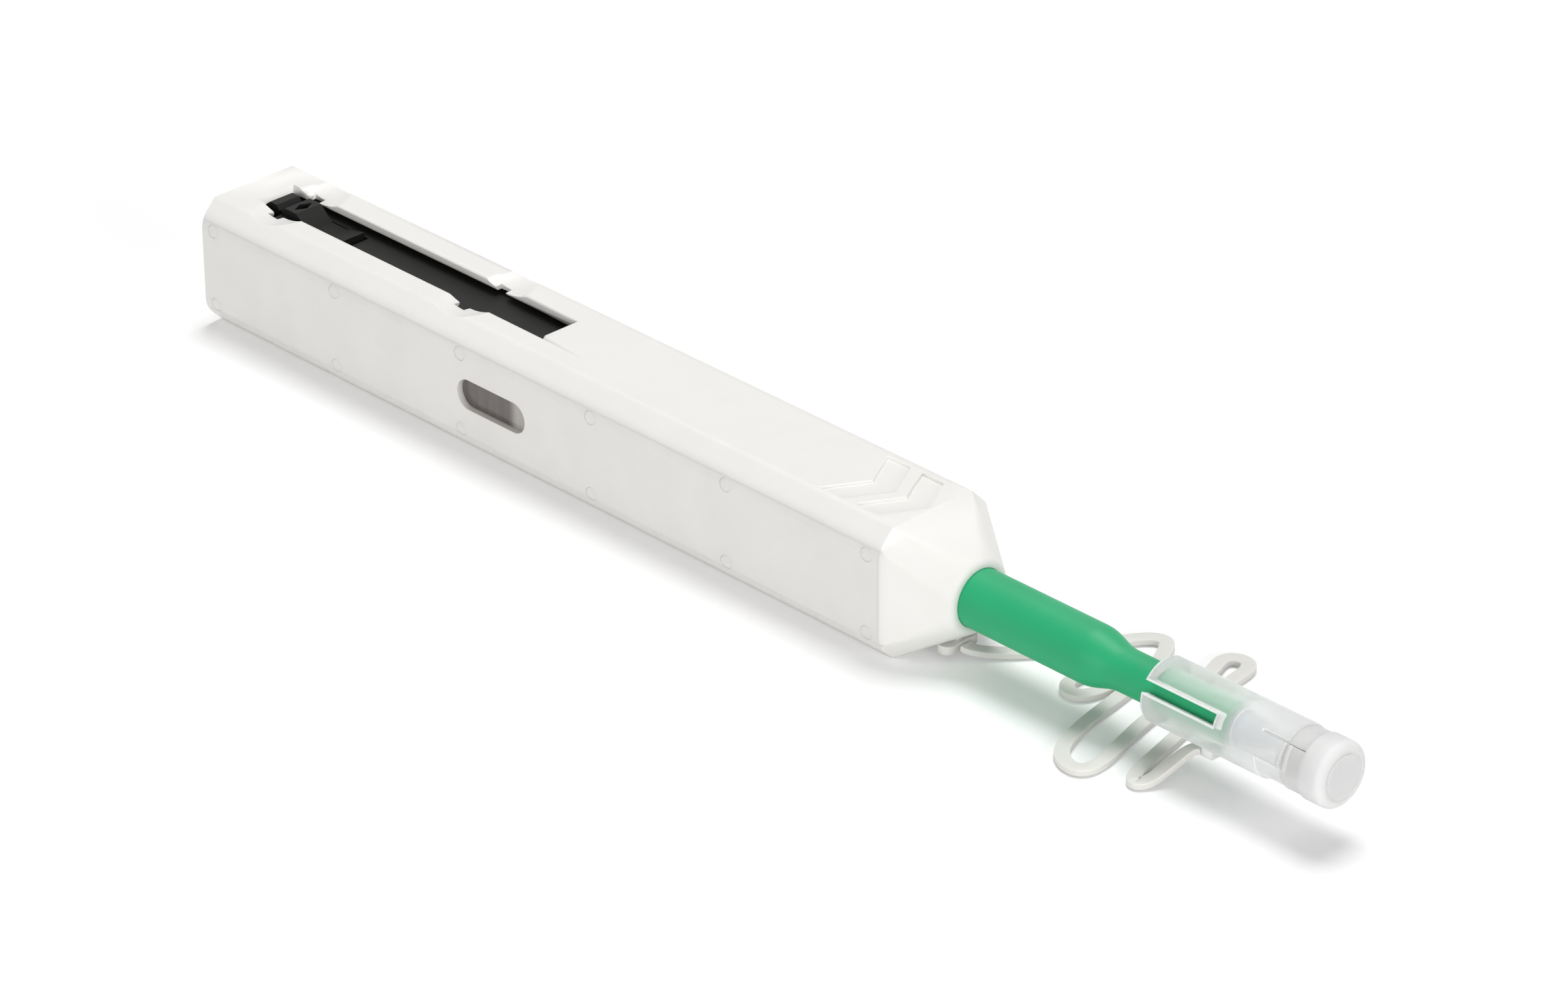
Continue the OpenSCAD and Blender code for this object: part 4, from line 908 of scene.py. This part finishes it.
# %% [markdown]
# ## Steel
# The spring is drawn wire, and the screws and axles are ground. Both kinds of work leave fine
# streaks, which a mirror-smooth metal lacks. Noise makes them, in gloss and in a very shallow bump.
# On the ground pieces it is stretched across the pen, the way that the grinding ran; the wire is too
# thin to show a direction. A metal keeps the default index.

# %% Spring wire and ground steel
STREAK_MM, STREAK_DEEP_MM = 0.2, 0.002
STREAK_UNEVEN = 0.08


def metal(name, tone, roughness, stretch):
    """Ground or drawn steel: fine streaks along the working direction in gloss and bump."""
    material, tree = new_material(name)
    streaks = mottling(tree, STREAK_MM, detail=3.0, stretch=stretch)
    gloss = add(tree, "MapRange", Value=streaks, To_Min=roughness - STREAK_UNEVEN,
                To_Max=roughness + STREAK_UNEVEN)
    relief = add(tree, "Bump", Height=streaks, Distance=STREAK_DEEP_MM * MM, Strength=1.0)
    surface = add(tree, "BsdfPrincipled", Base_Color=srgb(tone), Metallic=1.0,
                  Roughness=gloss.outputs[0], Normal=relief.outputs[0])
    add(tree, "OutputMaterial", Surface=surface.outputs[0])
    return material


steel_drawn = metal("spring_steel_drawn", "b9babb", 0.3, (1, 1, 1))
steel_ground = metal("steel_ground", "c4c5c6", 0.28, (1, 0.05, 1))
print("materials:", len(bpy.data.materials))

# %% [markdown]
# ## Materials on pieces
# Each piece of the real pen is one moulding or one kind of metal, so each node has one material. The
# rounded copies and the strap's stretches take it as their only one. The nodes that are shown as
# they come from the CAD, such as the thread and the spring, take it in their own objects' slots.

# %% Materials on pieces
MATERIAL_OF = {
    "case_body": case_white, "case_cover": cover_white_painted_shade, "cover_pins": cover_white_painted_shade,
    "tether_tab": tether_milky,
    "carriage_frame": carriage_black, "carriage_plate": carriage_black, "latch_arm": latch_black,
    "supply_reel": reel_grey, "takeup_reel": reel_grey, "takeup_gear": gear_ivory, "drive_rack": gear_ivory,
    "nozzle_tube": nozzle_green, "nozzle_slider": carriage_black, "tip_sleeve": tip_blue,
    "tip_shaft": tip_blue, "cap_body": cap_milky, "cap_lid": lid_milky, "plate_screws": steel_ground,
    "reel_axles": steel_ground, "window_lens": lens, "supply_thread": thread_white,
    "takeup_thread": thread_white, "return_spring": steel_drawn, "feed_thread": thread_white,
    "tip_thread": thread_white, "tether_strap": tether_milky}


def dress(piece, material):
    """Gives the piece one material, whatever slots it came with."""
    piece.data.materials.clear()
    piece.data.materials.append(material)


for node, material in MATERIAL_OF.items():
    if node in looks:
        dress(looks[node], material)
    else:
        for slot in frame["nodes"][node].material_slots:
            slot.material = material
for piece in strap_pieces:
    dress(piece, tether_milky)
print("dressed", len(looks), "rounded pieces and", len(strap_pieces), "stretches of strap")

# %% [markdown]
# ## Floor
# The pen lies on a white sweep that is lit until it has no horizon. Enough light for that would
# bleach the pen, so the floor glows a little by itself, only for rays that look at it, and less
# near the pen, where it has to show the pen's shadow. It lies a hair below the ground, clear of
# the pen's underside.

# %% Floor
FLOOR_HALF = 3.0
FLOOR_DROP = 0.05 * MM
GLOW_FROM, GLOW_TO = 0.3, 0.9
GLOW_NEAR, GLOW_FAR = 0.18, 0.9


def seen_rays(tree):
    """1 for rays that show the background: straight, mirrored or through clear plastic."""
    path = add(tree, "LightPath")
    mirrored = add(tree, "Math", {"operation": "MAXIMUM"}, i0=path.outputs["Is Camera Ray"],
                   i1=path.outputs["Is Glossy Ray"]).outputs[0]
    return add(tree, "Math", {"operation": "MAXIMUM"}, i0=mirrored,
               i1=path.outputs["Is Transmission Ray"]).outputs[0]


def floor_pale():
    """Matt white paper with a glow that grows smoothly with the distance from the pen."""
    material, tree = new_material("floor_pale")
    place = add(tree, "TexCoord").outputs["Object"]
    far = add(tree, "VectorMath", {"operation": "LENGTH"}, i0=place).outputs["Value"]
    glow = add(tree, "MapRange", {"interpolation_type": "SMOOTHSTEP"}, Value=far, From_Min=GLOW_FROM,
               From_Max=GLOW_TO, To_Min=GLOW_NEAR, To_Max=GLOW_FAR).outputs[0]
    seen_glow = add(tree, "Math", {"operation": "MULTIPLY"}, i0=seen_rays(tree), i1=glow).outputs[0]
    surface = add(tree, "BsdfPrincipled", Base_Color=srgb("f1f1f1"), Roughness=0.9,
                  Specular_IOR_Level=0.1, Emission_Color=WHITE, Emission_Strength=seen_glow)
    add(tree, "OutputMaterial", Surface=surface.outputs[0])
    return material


corners = np.array([(-1, -1, 0), (1, -1, 0), (1, 1, 0), (-1, 1, 0)]) * FLOOR_HALF
floor = mesh_from("floor", corners, [(0, 1, 2, 3)])
floor.location.z = -FLOOR_DROP
dress(floor, floor_pale())
print("floor metres:", [round(v, 2) for v in floor.dimensions])

# %% [markdown]
# ## Lamps
# The photograph has the even light of a catalogue picture. A large lamp overhead makes the soft
# shadow under the pen. A wide, weaker one from the near side opens the flank, and a small one ahead
# gives the cap and the nozzle their edge. More lamps would add shadows that the photograph lacks.

# %% Lamps
LAMPS = [("key", (-0.1, 0.24, 1.0), (0.02, 0, 0), (0.5, 0.5), 7.4),
         ("fill", (0.35, -1.0, 0.24), (0, 0, 0), (1.0, 0.4), 4.8),
         ("front", (1.05, -0.1, 0.35), (0.05, 0, 0), (0.5, 0.4), 3.4)]


def area_light(name, place, aim, size, power):
    """A rectangular lamp of a size in metres and a power in watts, turned to face the aim."""
    data = bpy.data.lights.new(name, "AREA")
    data.shape = "RECTANGLE"
    data.size, data.size_y = size
    data.energy = power
    light = bpy.data.objects.new(name, data)
    bpy.context.scene.collection.objects.link(light)
    light.location = place
    light.rotation_euler = (Vector(aim) - Vector(place)).to_track_quat("-Z", "Y").to_euler()


for lamp in LAMPS:
    area_light(*lamp)
print("lamps:", [name for name, *_ in LAMPS])

# %% [markdown]
# ## World and view
# The studio's walls give a weak light from all sides. What is seen directly, mirrored or through
# clear plastic is plain white, at a strength of 1. The Standard view shows a colour as it is
# written.

# %% World
WALL_LIGHT = 0.2
world = bpy.data.worlds.new("studio")
bpy.context.scene.world = world
world.use_nodes = True
walls = world.node_tree
walls.nodes.clear()
dim = add(walls, "Background", Color=WHITE, Strength=WALL_LIGHT)
plain = add(walls, "Background", Color=WHITE, Strength=1.0)
either = add(walls, "MixShader", i0=seen_rays(walls), i1=dim.outputs[0], i2=plain.outputs[0])
add(walls, "OutputWorld", Surface=either.outputs[0])
bpy.context.scene.view_settings.view_transform = "Standard"
print("world nodes:", len(walls.nodes))
